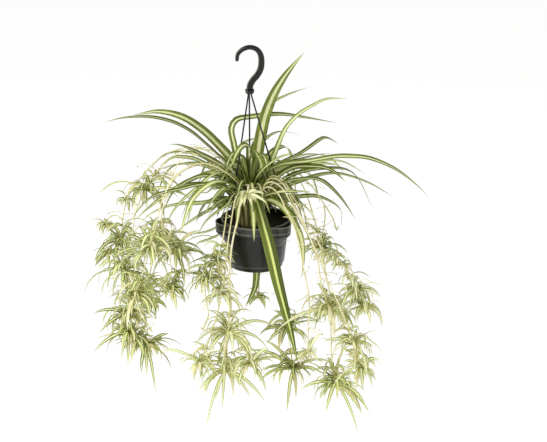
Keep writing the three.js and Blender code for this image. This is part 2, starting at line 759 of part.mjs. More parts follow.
function makePot() {
  const base = POT.rimTop - POT.height;
  const bandFoot = POT.rimTop - POT.rimBand;
  const outer = [
    [0, base],
    [POT.baseRadius, base],
    [POT.baseRadius, base + POT.footStep],
    [POT.footRadius, base + POT.footTop],
    [POT.wallRadius - 1.5, bandFoot - POT.ridge.height],
    [POT.wallRadius + POT.ridge.out, bandFoot - POT.ridge.height],
    [POT.wallRadius + POT.ridge.out, bandFoot],
    [POT.rimRadius, bandFoot],
    [POT.rimRadius, POT.rimTop],
    [0, POT.rimTop],
  ];
  const bridge = [
    [POT.rimRadius - POT.rimThick, POT.rimTop - LIP.bridge],
    [POT.rimRadius - 0.5, POT.rimTop - LIP.bridge],
    [POT.rimRadius - 0.5, POT.rimTop - 0.5],
    [POT.rimRadius - POT.rimThick, POT.rimTop - 0.5],
    [POT.rimRadius - POT.rimThick, POT.rimTop - LIP.bridge],
  ];
  const lips = LIP.azimuths.map((azimuth) => lipShape(azimuth, 0));
  const body = joined([lathe(outer), ...lips])
    .subtract(potInside(POT.rimTop + 1, 0))
    .add(lathe(bridge));
  const drains = Array.from({ length: DRAIN.count }, (_, k) => (
    drilled(around(k * 360 / DRAIN.count, DRAIN.ring, base), DRAIN.radius, 2 * POT.floor)
  ));
  const sockets = Object.values(SOCKET.azimuths).map((azimuth) => (
    drilled(around(azimuth, SOCKET.ring, POT.rimTop), SOCKET.radius, SOCKET.depth)
  ));
  return body.subtract(joined([...drains, ...sockets]));
}

// What an upright hole takes out, as far above its middle as below it
function drilled(middle, radius, depth) {
  const hole = new THREE.CylinderGeometry(radius, radius, 2 * depth, 8);
  hole.rotateX(Math.PI / 2);
  hole.translate(middle.x, middle.y, middle.z);
  return solidFrom(hole);
}

// The crown, a short thick stock that the leaves and runners grow from and that stands in the soil
function crownShape(grow) {
  const profile = [
    [0, CROWN.bottom - grow],
    [CROWN.footRadius + grow, CROWN.bottom - grow],
    [CROWN.radius + grow, CROWN.waist],
    [CROWN.radius + grow, CROWN.shoulder],
    [CROWN.topRadius + grow, CROWN.top + grow],
    [0, CROWN.top + grow],
  ];
  const outline = profile.map(([radius, z]) => new THREE.Vector2(radius, z));
  const geometry = new THREE.LatheGeometry(outline, CROWN.sides);
  geometry.rotateX(Math.PI / 2);
  geometry.translate(CROWN.x, CROWN.y, 0);
  return solidFrom(geometry);
}

// A smooth line through points, cut in even steps
function evenly(points, steps) {
  return new THREE.CatmullRomCurve3(points, false, 'centripetal').getSpacedPoints(steps);
}

// Where a leaf leaves the crown: low on its side if it leans out, high and near the middle if not
function rootOf(first, second) {
  const lean = second.clone().sub(new THREE.Vector3(CROWN.x, CROWN.y, SOIL_TOP));
  const flat = Math.hypot(lean.x, lean.y);
  const steep = Math.atan2(lean.z, flat) / (Math.PI / 2);
  const out = new THREE.Vector3(first.x - CROWN.x, first.y - CROWN.y, 0).normalize();
  const radius = CROWN.radius * (LEAF_ROOT.outer - LEAF_ROOT.inward * steep);
  const height = SOIL_TOP + LEAF_ROOT.low + LEAF_ROOT.climb * steep;
  return new THREE.Vector3(CROWN.x, CROWN.y, height).addScaledVector(out, radius);
}

// Runners stand in a ring on top of the crown
function runnerRoot(azimuth) {
  const angle = THREE.MathUtils.degToRad(azimuth);
  const out = new THREE.Vector3(Math.cos(angle), Math.sin(angle), 0);
  return new THREE.Vector3(CROWN.x, CROWN.y, CROWN.top - RUNNER.rootSink)
    .addScaledVector(out, RUNNER.rootRing);
}

// How wide a leaf is along its rib, from its sheath to its point
function leafWidth(t) {
  const opened = Math.sin(Math.min(t / LEAF.widest, 1) * Math.PI / 2);
  const taper = 1 - Math.max(0, (t - LEAF.widest) / (1 - LEAF.widest)) ** LEAF.taper;
  return (LEAF.sheath + (1 - LEAF.sheath) * opened) * taper;
}

// A leaf folded in a shallow channel along its rib: keel, left edge, rib and right edge at each step
function leafSolid(rib, width, turn) {
  const lean = rib.at(-1).clone().sub(rib[0]);
  const flat = new THREE.Vector3(lean.y, -lean.x, 0).normalize();
  const last = rib.length - 1;
  const rings = rib.map((point, i) => {
    if (i === last) {
      return [point];
    }
    const ahead = runAt(rib, i);
    const side = across(flat, ahead).applyAxisAngle(ahead, THREE.MathUtils.degToRad(turn));
    const up = new THREE.Vector3().crossVectors(side, ahead);
    const half = 0.5 * width * leafWidth(i / last);
    const edge = point.clone().addScaledVector(up, LEAF.fold * half);
    return [
      point.clone().addScaledVector(up, -LEAF.keel),
      edge.clone().addScaledVector(side, -half),
      point.clone(),
      edge.clone().addScaledVector(side, half),
    ];
  });
  return loft(rings);
}

// A small blade of a young plant or tuft: a keeled strip on a bent line
function bladeLine(root, tip, lift, steps) {
  const span = root.distanceTo(tip);
  const middle = root.clone().lerp(tip, 0.5).add(new THREE.Vector3(0, 0, lift * span));
  return new THREE.QuadraticBezierCurve3(root, middle, tip).getPoints(steps);
}

function bladeSolid(line, width, turn) {
  const last = line.length - 1;
  const flat = sideways(line[last].clone().sub(line[0]));
  const rings = line.map((point, i) => {
    if (i === last) {
      return [point];
    }
    const ahead = runAt(line, i);
    const side = across(flat, ahead).applyAxisAngle(ahead, turn);
    const up = new THREE.Vector3().crossVectors(side, ahead);
    const half = 0.5 * width * (i === 0 ? BLADE.root : BLADE.low - BLADE.thin * i / last);
    return [
      point.clone().addScaledVector(up, -BLADE.keel),
      point.clone().addScaledVector(side, -half),
      point.clone().addScaledVector(side, half),
    ];
  });
  return loft(rings);
}

// Every line already grown, so that what grows later keeps clear of it
const grown = [];

function keepClear(owner, line, radius) {
  for (let i = 1; i < line.length; i += 1) {
    grown.push({ owner, a: line[i - 1], b: line[i], radius });
  }
}

// The least distance between two straight pieces of line
function gapBetween(a, b, c, d) {
  const u = b.clone().sub(a);
  const v = d.clone().sub(c);
  const w = a.clone().sub(c);
  const uu = u.dot(u);
  const uv = u.dot(v);
  const vv = v.dot(v);
  const det = uu * vv - uv * uv;
  let s = det > 1e-9 ? THREE.MathUtils.clamp((uv * v.dot(w) - vv * u.dot(w)) / det, 0, 1) : 0;
  const t = THREE.MathUtils.clamp((uv * s + v.dot(w)) / vv, 0, 1);
  s = THREE.MathUtils.clamp((uv * t - u.dot(w)) / uu, 0, 1);
  return w.addScaledVector(u, s).addScaledVector(v, -t).length();
}

function isClear(owner, line, radius) {
  return grown.every((other) => {
    if (other.owner === owner) {
      return true;
    }
    for (let i = 1; i < line.length; i += 1) {
      const gap = gapBetween(line[i - 1], line[i], other.a, other.b);
      if (gap < radius + other.radius + CLEAR) {
        return false;
      }
    }
    return true;
  });
}

// Hanger, pot and soil
addPart('hanger_hook', makeHook(), plastic);
Object.entries(SOCKET.azimuths).forEach(([side, azimuth]) => {
  const points = legPoints(azimuth);
  addPart(`hanger_leg_${side}`, bar(points, LEG.radius, LEG.radius, LEG.corners), plastic);
  keepClear(`hanger_leg_${side}`, points, LEG.radius);
});
addPart('pot', makePot(), plastic);
const soil = potInside(SOIL_TOP, CLEAR).subtract(crownShape(CLEAR));
addPart('soil', largestBody(soil), compost);

// The stems of the runners, which everything green keeps clear of
const runners = RUNNERS.map((row) => {
  const name = `runner_${row.name}`;
  const knots = row.stems.map((points) => points.map(place));
  const lines = knots.map((points, i) => {
    const whole = i === 0 ? [runnerRoot(row.root), ...points] : points;
    return evenly(whole, Math.round(lengthOf(whole) / RUNNER.step));
  });
  lines.forEach((line) => keepClear(name, line, RUNNER.rootRadius));
  return { ...row, name, knots, lines };
});

function stemSolids(lines, grow) {
  return lines.map((line) => (
    bar(line, RUNNER.rootRadius + grow, RUNNER.tipRadius + grow, RUNNER.sides)
  ));
}

// The mother plant
const leaves = LEAVES.map(({ width, turn, rib }) => {
  const points = rib.map(place);
  return { width, turn, points: [rootOf(points[0], points[1]), ...points] };
});

function drawnLeaf(rule, k, draw) {
  const share = (k + draw(0.1, 0.9)) / rule.count;
  const azimuth = THREE.MathUtils.degToRad(rule.from + (rule.to - rule.from) * share);
  const out = new THREE.Vector3(Math.cos(azimuth), Math.sin(azimuth), 0);
  const reach = draw(...rule.reach);
  const rise = draw(...rule.rise);
  const fall = draw(...rule.fall);
  const base = new THREE.Vector3(CROWN.x, CROWN.y, SOIL_TOP);
  const points = DRAWN_ARCH.map(([along, up]) => (
    base.clone().addScaledVector(out, along * reach).setZ(SOIL_TOP + up * rise)
  ));
  points.push(base.clone().addScaledVector(out, reach).setZ(SOIL_TOP + rise - fall));
  return {
    width: draw(...rule.width),
    turn: draw(...rule.turn),
    points: [rootOf(points[0], points[1]), ...points],
  };
}

DRAWN_LEAVES.forEach((rule) => {
  for (let k = 0; k < rule.count; k += 1) {
    for (let attempt = 0; attempt < TRIES.leaf; attempt += 1) {
      const leaf = drawnLeaf(rule, k, draws(rule.seed * 1000 + k * 10 + attempt));
      const free = evenly(leaf.points, LEAF.most).slice(1);
      if (isClear('mother_plant', free, ROOM.drawn * leaf.width)) {
        leaves.push(leaf);
        break;
      }
    }
  }
});

const motherParts = [crownShape(0)];
leaves.forEach(({ width, turn, points }) => {
  const steps = Math.round(lengthOf(points) / LEAF.step);
  const rib = evenly(points, THREE.MathUtils.clamp(steps, LEAF.least, LEAF.most));
  motherParts.push(leafSolid(rib, width, turn));
  keepClear('mother_plant', rib, ROOM.grown * width);
});
const stemRoom = joined(runners.flatMap(({ lines }) => stemSolids(lines, CLEAR)));
addPart('mother_plant', grownBody(joined(motherParts).subtract(stemRoom)), leafGreen);

// One blade, drawn again with the next seed until it grows clear of every other piece
function growBlade(owner, seed, propose) {
  for (let attempt = 0; attempt < TRIES.blade; attempt += 1) {
    const { line, width, turn } = propose(draws(seed * 20 + attempt));
    const free = [line[0].clone().lerp(line[1], BLADE.free), ...line.slice(1)];
    if (isClear(owner, free, ROOM.grown * width)) {
      keepClear(owner, free, ROOM.grown * width);
      return bladeSolid(line, width, turn);
    }
  }
  return null;
}

// One bract of a tuft, fused to the stem at a knot
function tuftBlade(middle, k, draw) {
  const azimuth = 2 * Math.PI * (k + draw(0, 1)) / TUFT.blades;
  const reach = draw(...TUFT.reach);
  const out = new THREE.Vector3(reach * Math.cos(azimuth), reach * Math.sin(azimuth), draw(...TUFT.rise));
  return {
    line: bladeLine(middle, middle.clone().add(out), TUFT.lift, 2),
    width: draw(...TUFT.width),
    turn: draw(-TUFT.turn, TUFT.turn),
  };
}

// A long leaf of a young plant, to a tip that shows in the view
function longBlade(middle, [across, drop], draw) {
  const { depth, lift, width, turn } = YOUNG.long;
  const tip = place([across, drop, middle.y + draw(-depth, depth)]);
  return {
    line: bladeLine(middle, tip, lift, 3),
    width: draw(...width),
    turn: draw(-turn, turn),
  };
}

// The direction of an azimuth and a rise above level
function headed(azimuth, rise) {
  return new THREE.Vector3(
    Math.cos(rise) * Math.cos(azimuth),
    Math.cos(rise) * Math.sin(azimuth),
    Math.sin(rise),
  );
}

// A leaf of the rosette of a young plant, the last ones rising and the first ones level. Each arches
// over: the second half of its length falls from the first by the arch.
function shortBlade(middle, size, share, k, draw) {
  const form = YOUNG.short;
  const azimuth = 2 * Math.PI * (k * form.spiral + draw(0, form.stray));
  const level = Math.asin(THREE.MathUtils.lerp(form.low, form.high, share));
  const rise = level + draw(-form.stray, form.stray);
  const fall = Math.max(rise - draw(...form.arch), -form.steepest);
  const reach = size * draw(...form.reach);
  const knee = middle.clone().addScaledVector(headed(azimuth, rise), 0.5 * reach);
  const tip = knee.clone().addScaledVector(headed(azimuth, fall), 0.5 * reach);
  return {
    line: new THREE.QuadraticBezierCurve3(middle, knee, tip).getPoints(reach > form.bent ? 3 : 2),
    width: draw(...form.width) + form.broader * size,
    turn: draw(-form.turn, form.turn),
  };
}

// Each runner with its tufts of bracts, then its young plants. A seed tells every blade apart.
runners.forEach(({ name, seed, knots, lines, tufts, young }) => {
  const stem = [...stemSolids(lines, 0)];
  tufts.forEach(([which, knot], t) => {
    for (let k = 0; k < TUFT.blades; k += 1) {
      const own = seed * 1000 + 900 + t * 10 + k;
      stem.push(growBlade(name, own, (draw) => tuftBlade(knots[which][knot], k, draw)));
    }
  });
  addPart(name, grownBody(joined(stem.filter(Boolean))), straw);

  young.forEach(({ spots, size, leaves: count, tips }, p) => {
    const owner = `${name.replace('runner', 'plantlet')}_${p + 1}`;
    const middles = spots.map(([which, knot]) => knots[which][knot]);
    const own = seed * 1000 + p * 100;
    const blades = [];
    tips.forEach((tip, k) => {
      const nearest = middles.reduce((a, b) => (
        Math.abs(b.x - tip[0]) < Math.abs(a.x - tip[0]) ? b : a
      ));
      blades.push(growBlade(owner, own + k, (draw) => longBlade(nearest, tip, draw)));
    });
    middles.forEach((middle, m) => {
      for (let k = 0; k < count; k += 1) {
        const share = (k + 0.5) / count;
        blades.push(growBlade(owner, own + 20 + m * 25 + k, (draw) => (
          shortBlade(middle, size, share, k, draw)
        )));
      }
    });
    const { share, least, most } = YOUNG.core;
    const cores = middles.map((middle) => {
      const core = new THREE.OctahedronGeometry(THREE.MathUtils.clamp(share * size, least, most));
      core.translate(middle.x, middle.y, middle.z);
      return solidFrom(core);
    });
    const { radius, corners } = YOUNG.link;
    const links = middles.slice(1).map((middle, m) => (
      bar([middles[m], middle], radius, radius, corners)
    ));
    const body = joined([...cores, ...links, ...blades.filter(Boolean)]).subtract(stemRoom);
    addPart(owner, grownBody(body), youngGreen);
  });
});

export default plant;
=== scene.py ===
import math

import bmesh
import bpy
import numpy as np
from mathutils import Matrix, Vector, kdtree


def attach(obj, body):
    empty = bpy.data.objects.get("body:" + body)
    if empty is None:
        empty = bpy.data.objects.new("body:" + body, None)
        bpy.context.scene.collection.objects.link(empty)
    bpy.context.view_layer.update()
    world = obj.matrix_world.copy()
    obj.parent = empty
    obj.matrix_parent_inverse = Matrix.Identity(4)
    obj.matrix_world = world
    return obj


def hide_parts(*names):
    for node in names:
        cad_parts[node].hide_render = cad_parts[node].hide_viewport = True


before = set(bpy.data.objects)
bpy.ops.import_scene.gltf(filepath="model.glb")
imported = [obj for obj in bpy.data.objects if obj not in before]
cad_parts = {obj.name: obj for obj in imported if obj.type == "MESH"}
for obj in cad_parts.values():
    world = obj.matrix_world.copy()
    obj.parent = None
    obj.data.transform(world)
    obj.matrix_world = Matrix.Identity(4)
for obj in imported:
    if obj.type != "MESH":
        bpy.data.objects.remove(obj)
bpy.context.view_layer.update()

# Hook and collar: one black polypropylene moulding of oval section with a blunt tip and a round collar
# at its foot, which the three legs snap into. The legs and the pot are of the same satin plastic, with
# flow marks, a little compost dust, a rim band that is paler partly from dust and wear and partly by a
# painted reflection, painted highlight lines on the rim's edges and at the foot, and a painted highlight
# on the hook's left side.
HOOK_DEPTH = 9
HOOK_STEPS = 72
OVAL_CORNERS = 24
OVAL_POWER = 0.8
# Each row is x, z and the width there
HOOK_LINE = [
    (-35, -22, 8), (-33, -9, 9), (-25, 0, 9.6), (-12, 6, 10), (0, 5.2, 10.4), (9, 0, 11.4),
    (15, -10, 13), (17, -25, 13.6), (15, -42, 14), (8, -56, 14), (-1, -67, 14), (-7, -79, 14),
    (-8, -89, 14),
]
# Each ring of the tip: how far before the line's start, and its share of the full oval
BLUNT_TIP = ((2.6, 0.35), (2.2, 0.7), (1.2, 0.92))
COLLAR = [(0, -88), (8.6, -88), (9.6, -88.5), (10, -89.6), (9.4, -95), (8.8, -96), (0, -96)]
COLLAR_X = -8
COLLAR_SIDES = 48
SHARP_EDGE = 38
LINE_SAMPLES = 40
LEAST_STEP = 1e-4
THINNEST = 0.01
# Colours of the plastic. Dark and light are its own flow marks and dust is real dust. The worn grey is partly
# wear and partly a painted reflection on the rim band, and a painted highlight at the foot. Edge is a painted
# highlight on the rim's edge lines, and rubbed is a painted highlight on the hook's left side.
PLASTIC = {"dark": "#0f0f0e", "light": "#1a1a18", "dust": "#5b564c", "wear_and_sheen": "#5a5954", "edge": "#85837b",
           "left_side_highlight": "#8a8981"}
# Heights in metres of the paler bands, each from none to full and back to none: the rim band, partly dust
# and wear and partly a painted reflection, and painted highlight lines at the foot and along the rim band's
# upper and lower edges
WEAR_AND_SHEEN_BANDS = {"rim": (-0.4005, -0.3965, -0.3765, -0.3735), "foot": (-0.4735, -0.4715, -0.4705, -0.4675),
        "upper": (-0.3800, -0.3785, -0.3775, -0.3765), "lower": (-0.3945, -0.3932, -0.3920, -0.3905)}
# Heights in metres above which the plastic is the hook, whose left-facing side gets a painted highlight
HOOK_FOOT = (-0.098, -0.09)


def linear(code):
    """An sRGB hex colour as the linear values that a shader takes."""
    shares = [int(code[i:i + 2], 16) / 255 for i in (1, 3, 5)]
    return [s / 12.92 if s <= 0.04045 else ((s + 0.055) / 1.055) ** 2.4 for s in shares] + [1.0]


def feed(tree, node, inputs):
    """Sets the inputs of a node, or links them to other nodes."""
    for key, value in inputs.items():
        if isinstance(value, bpy.types.NodeSocket):
            tree.links.new(value, node.inputs[key])
        else:
            node.inputs[key].default_value = value


def add(tree, kind, inputs=None, **settings):
    """Adds one node with its settings and its inputs."""
    node = tree.nodes.new(kind)
    for key, value in settings.items():
        setattr(node, key, value)
    feed(tree, node, inputs or {})
    return node


def calc(tree, operation, *values):
    """One step of arithmetic between node outputs and numbers."""
    return add(tree, "ShaderNodeMath", dict(enumerate(values)), operation=operation).outputs[0]


def mix(tree, share, low, high):
    """A colour between two others, each an output or a hex code."""
    low, high = (linear(colour) if isinstance(colour, str) else colour for colour in (low, high))
    return add(tree, "ShaderNodeMix", {0: share, 6: low, 7: high}, data_type="RGBA").outputs[2]


def ramp(tree, value, low, high, to_low=0.0, to_high=1.0):
    """A value that runs smoothly between two limits."""
    return add(tree, "ShaderNodeMapRange", {0: value, 1: low, 2: high, 3: to_low, 4: to_high},
               interpolation_type="SMOOTHSTEP").outputs[0]


def noise(tree, where, scale, detail, roughness=0.5):
    """A soft noise with so many waves to the metre."""
    return add(tree, "ShaderNodeTexNoise", {"Vector": where, "Scale": scale, "Detail": detail,
                                            "Roughness": roughness}).outputs["Fac"]


def relief(tree, height, strength, deepest):
    """The normal of a fine relief, its depth in metres."""
    return add(tree, "ShaderNodeBump", {"Height": height, "Strength": strength,
                                        "Distance": deepest}).outputs["Normal"]


def shader(name):
    """A new material, with its tree, its surface shader and the place on the piece."""
    material = bpy.data.materials.new(name)
    material.use_nodes = True
    tree = material.node_tree
    return material, tree, tree.nodes["Principled BSDF"], add(tree, "ShaderNodeTexCoord").outputs["Object"]


def in_scene(name, data):
    """A new item in the scene that holds the mesh, light or lens given."""
    item = bpy.data.objects.new(name, data)
    bpy.context.scene.collection.objects.link(item)
    return item


def own(name, mesh, node):
    """Makes a finished mesh one piece of the plant, in place of the plain solid of that name."""
    piece = in_scene(name, mesh)
    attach(piece, "root")
    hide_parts(node)


def joined(name, meshes):
    """Several meshes as one, each keeping its materials and attributes."""
    objects = [in_scene(name, mesh) for mesh in meshes]
    with bpy.context.temp_override(active_object=objects[0], object=objects[0],
                                   selected_objects=objects, selected_editable_objects=objects):
        bpy.ops.object.join()
    mesh = objects[0].data
    bpy.data.objects.remove(objects[0])
    mesh.name = name
    return mesh


def lofted(name, rings, material):
    """A closed mesh through rings of points, with flat ends and outward faces."""
    sides = len(rings[0])
    points = np.concatenate(rings)
    faces = [list(range(sides))[::-1], list(range(len(points) - sides, len(points)))]
    for i in range(len(rings) - 1):
        low = i * sides
        for k in range(sides):
            step = (k + 1) % sides
            faces.append([low + k, low + step, low + step + sides, low + k + sides])
    mesh = bpy.data.meshes.new(name)
    mesh.from_pydata([tuple(p) for p in points], [], faces)
    work = bmesh.new()
    work.from_mesh(mesh)
    bmesh.ops.recalc_face_normals(work, faces=work.faces)
    work.to_mesh(mesh)
    work.free()
    mesh.shade_smooth()
    mesh.set_sharp_from_angle(angle=math.radians(SHARP_EDGE))
    mesh.materials.append(material)
    return mesh


def turned(name, profile, middle, sides, material):
    """A closed mesh turned round an upright axis, its profile given as (radius, height)."""
    turn = np.linspace(0, 2 * math.pi, sides, endpoint=False)
    rings = []
    for radius, height in profile:
        radius = max(radius, THINNEST)
        rings.append(np.stack([middle[0] + radius * np.cos(turn), middle[1] + radius * np.sin(turn),
                               np.full(sides, height)], axis=1) / 1000)
    return lofted(name, rings, material)


def smooth_line(points, steps):
    """A centripetal Catmull-Rom line through points, cut in even steps."""
    points = np.asarray(points, float)
    ends = np.vstack([2 * points[0] - points[1], points, 2 * points[-1] - points[-2]])
    t = np.linspace(0, 1, LINE_SAMPLES, endpoint=False)[:, None]
    fine = []
    for i in range(len(points) - 1):
        a, b, c, d = ends[i:i + 4]
        ab, bc, cd = (max(np.linalg.norm(q - p), LEAST_STEP) ** 0.5 for p, q in ((a, b), (b, c), (c, d)))
        leave = bc * ((b - a) / ab - (c - a) / (ab + bc) + (c - b) / bc)
        arrive = bc * ((c - b) / bc - (d - b) / (bc + cd) + (d - c) / cd)
        fine.append(b + leave * t + (-3 * b + 3 * c - 2 * leave - arrive) * t ** 2
                    + (2 * b - 2 * c + leave + arrive) * t ** 3)
    fine = np.vstack([*fine, points[-1:]])
    run = np.concatenate([[0], np.cumsum(np.linalg.norm(np.diff(fine, axis=0), axis=1))])
    at = np.linspace(0, run[-1], steps + 1)
    return np.stack([np.interp(at, run, fine[:, k]) for k in range(3)], axis=1)


def runs(line):
    """The direction of a line at each of its points."""
    ahead = np.gradient(line, axis=0)
    return ahead / np.linalg.norm(ahead, axis=1)[:, None]


# Moulded polypropylene: a satin, nearly black skin with flow marks 18 mm apart that are drawn out
# upright, dust that greys it in patches of 40 mm, a grain of half a millimetre, a paler rim band that is
# partly dust and wear and partly a painted reflection, and painted highlights on the rim's edges, at the
# foot and on the hook's left side
black_plastic, tree, surface, where = shader("black_polypropylene")
flow = noise(tree, add(tree, "ShaderNodeMapping", {"Vector": where, "Scale": (1, 1, 0.25)}).outputs[0], 55, 4)
dust = noise(tree, where, 24, 6, 0.7)
grain = noise(tree, where, 1800, 2)
height = add(tree, "ShaderNodeSeparateXYZ", {0: where}).outputs[2]
wear_and_sheen = {label: calc(tree, "MULTIPLY", ramp(tree, height, faint, full), ramp(tree, height, gone, fading))
        for label, (faint, full, fading, gone) in WEAR_AND_SHEEN_BANDS.items()}
# The rim band is paler in dusty patches: partly real dust and wear, partly a painted reflection of the soft
# light on the band. The line at the foot step is a painted highlight at half strength.
rim_wear_and_sheen = calc(tree, "MULTIPLY", wear_and_sheen["rim"], ramp(tree, dust, 0.36, 0.66, 0.08, 0.6))
wear_and_sheen_share = calc(tree, "MAXIMUM", rim_wear_and_sheen, calc(tree, "MULTIPLY", wear_and_sheen["foot"], 0.5))
# Thin painted highlights along the upper and lower edges of the rim band, broken up by the dust pattern
edges = calc(tree, "MULTIPLY", calc(tree, "MAXIMUM", wear_and_sheen["upper"], wear_and_sheen["lower"]),
             ramp(tree, dust, 0.34, 0.58, 0.2, 0.85))
# Painted highlight: the hook's left-facing side is painted paler, in place of the key light falling from the
# upper left
outward = add(tree, "ShaderNodeNewGeometry").outputs["Normal"]
facing = add(tree, "ShaderNodeSeparateXYZ", {0: outward}).outputs[0]
left_side_highlight = calc(tree, "MULTIPLY", ramp(tree, height, *HOOK_FOOT), ramp(tree, facing, -0.3, -0.85, 0, 0.62))
colour = mix(tree, ramp(tree, flow, 0.35, 0.65), PLASTIC["dark"], PLASTIC["light"])
# Over the flow marks go real dust, then the rim band of wear and painted reflection, the painted highlight
# lines and the painted highlight on the hook's side
for share, kind in ((ramp(tree, dust, 0.56, 0.8, 0, 0.18), "dust"), (wear_and_sheen_share, "wear_and_sheen"), (edges, "edge"),
                    (left_side_highlight, "left_side_highlight")):
    colour = mix(tree, share, colour, PLASTIC[kind])
feed(tree, surface, {"Base Color": colour, "Roughness": ramp(tree, dust, 0.3, 0.75, 0.24, 0.42),
                     "Specular IOR Level": 0.34, "Normal": relief(tree, grain, 0.25, 0.00006)})

curve = smooth_line([(x, 0, z) for x, z, _ in HOOK_LINE], HOOK_STEPS)
along = np.linspace(0, 1, HOOK_STEPS + 1)
widths = np.interp(along, np.linspace(0, 1, len(HOOK_LINE)), [width for *_, width in HOOK_LINE])
ahead = runs(curve)
inward = np.stack([-ahead[:, 2], 0 * along, ahead[:, 0]], axis=1)
angles = np.linspace(0, 2 * math.pi, OVAL_CORNERS, endpoint=False)
oval = np.stack([np.cos(angles), np.sin(angles)], axis=1)
oval = np.sign(oval) * abs(oval) ** OVAL_POWER


def hook_ring(i, back, share):
    """One oval of the hook's skin, at a point of its line or a little before it."""
    across = widths[i] * oval[:, :1] * inward[i]
    away = HOOK_DEPTH * oval[:, 1:] * np.array([0, 1, 0])
    return (curve[i] - back * ahead[i] + share * 0.5 * (across + away)) / 1000


rings = [hook_ring(0, back, share) for back, share in BLUNT_TIP]
rings += [hook_ring(i, 0, 1) for i in range(len(curve))]
hook_mesh = lofted("hook_body", rings, black_plastic)
collar_mesh = turned("hook_collar", COLLAR, (COLLAR_X, 0), COLLAR_SIDES, black_plastic)
own("hook", joined("hook", [hook_mesh, collar_mesh]), "hanger_hook")

# Legs of the hanger: three thin rods of the black plastic, moulded straight. Each runs from the collar
# to a bend above the rim and down into a socket in it, where it snaps in. Azimuths are in degrees.
POT_X = 5
RIM_TOP = -377
SOCKETS = {"left": 220, "right": 340, "back": 100}
SOCKET_RING = 72
LEG = {"radius": 1.7, "ring": 4, "top": -96.3, "neck": 5, "neck_bend": 2, "above_rim": 5, "rim_bend": 4,
       "in_rim": 9.7}
# Corners, fold and thickness of the section that is swept along a line; a full round has no fold.
LEG_SECTION = (14, 0.0, 1.0)
UPRIGHT = 1e-3


def geometry_tree(name, **inputs):
    """A new geometry tree with named inputs that gives one mesh."""
    tree = bpy.data.node_groups.new(name, "GeometryNodeTree")
    for label, kind in inputs.items():
        tree.interface.new_socket(label, in_out="INPUT", socket_type="NodeSocket" + kind)
    tree.interface.new_socket("Mesh", in_out="OUTPUT", socket_type="NodeSocketGeometry")
    return tree, add(tree, "NodeGroupInput").outputs


def close_tree(tree, geometry, material):
    """Ends a geometry tree with one real mesh in one material."""
    real = add(tree, "GeometryNodeRealizeInstances", {"Geometry": geometry}).outputs[0]
    made = add(tree, "GeometryNodeSetMaterial", {"Geometry": real, "Material": material}).outputs[0]
    add(tree, "NodeGroupOutput", {0: made})


sweep, given = geometry_tree("sweep_along_lines", Lines="Geometry", Corners="Int", Fold="Float",
                             Thickness="Float", Material="Material")
side, half = (add(sweep, "GeometryNodeInputNamedAttribute", {"Name": label}, data_type=kind).outputs[0]
              for label, kind in (("side", "FLOAT_VECTOR"), ("half", "FLOAT")))
posed = add(sweep, "GeometryNodeSetCurveNormal", {
    "Curve": add(sweep, "GeometryNodeMeshToCurve", {0: given["Lines"]}).outputs[0]}, mode="FREE")
feed(sweep, posed, {"Normal": side})
circle = add(sweep, "GeometryNodeCurvePrimitiveCircle", {"Resolution": given["Corners"], "Radius": 1.0})
split = add(sweep, "ShaderNodeSeparateXYZ", {0: add(sweep, "GeometryNodeInputPosition").outputs[0]}).outputs
marked = circle.outputs["Curve"]
for label, value in (("across", split[0]), ("face", split[1])):
    marked = add(sweep, "GeometryNodeStoreNamedAttribute",
                 {"Geometry": marked, "Name": label, "Value": value}).outputs[0]
lift = calc(sweep, "MULTIPLY", calc(sweep, "ABSOLUTE", split[0]), given["Fold"])
rise = calc(sweep, "MULTIPLY_ADD", split[1], given["Thickness"], lift)
section = add(sweep, "ShaderNodeCombineXYZ", {0: split[0], 1: rise}).outputs[0]
folded = add(sweep, "GeometryNodeSetPosition", {"Geometry": marked, "Position": section}).outputs[0]
skin = add(sweep, "GeometryNodeCurveToMesh", {"Curve": posed.outputs[0], "Profile Curve": folded,
                                              "Scale": half, "Fill Caps": True}).outputs[0]
smooth = add(sweep, "GeometryNodeSetShadeSmooth", {"Geometry": skin}).outputs[0]
close_tree(sweep, smooth, given["Material"])


def evaluated(name, holder):
    """The finished mesh that a holder's steps make; the holder goes."""
    graph = bpy.context.evaluated_depsgraph_get()
    made = bpy.data.meshes.new_from_object(holder.evaluated_get(graph), depsgraph=graph)
    holder.modifiers.clear()
    bpy.data.objects.remove(holder)
    made.name = name
    return made


def with_tree(name, mesh, tree, **values):
    """The plain mesh that a geometry tree makes of a mesh."""
    holder = in_scene(name, mesh)
    modifier = holder.modifiers.new(name, "NODES")
    modifier.node_group = tree
    for item in tree.interface.items_tree:
        if item.in_out == "INPUT" and item.name in values:
            modifier[item.identifier] = values[item.name]
    return evaluated(name, holder)


def swept(name, lines, material, section):
    """Sweeps the section along every line. A line has its points, its sideways directions, its half
    widths and a tone of its own from 0 to 1."""
    mesh = bpy.data.meshes.new(name + "_lines")
    points = np.concatenate([line["points"] for line in lines]) / 1000
    edges = []
    first = 0
    for line in lines:
        count = len(line["points"])
        edges += [(first + k, first + k + 1) for k in range(count - 1)]
        first += count
    mesh.from_pydata([tuple(p) for p in points], edges, [])
    sides = np.concatenate([line["side"] for line in lines]).astype(np.float32)
    mesh.attributes.new("side", "FLOAT_VECTOR", "POINT").data.foreach_set("vector", sides.ravel())
    per_point = {
        "half": np.concatenate([line["half"] for line in lines]) / 1000,
        "along": np.concatenate([np.linspace(0, 1, len(line["points"])) for line in lines]),
        "tone": np.concatenate([np.full(len(line["points"]), line["tone"]) for line in lines]),
    }
    for label, values in per_point.items():
        mesh.attributes.new(label, "FLOAT", "POINT").data.foreach_set("value", values.astype(np.float32))
    corners, fold, thickness = section
    return with_tree(name, mesh, sweep, Corners=corners, Fold=fold, Thickness=thickness, Material=material)


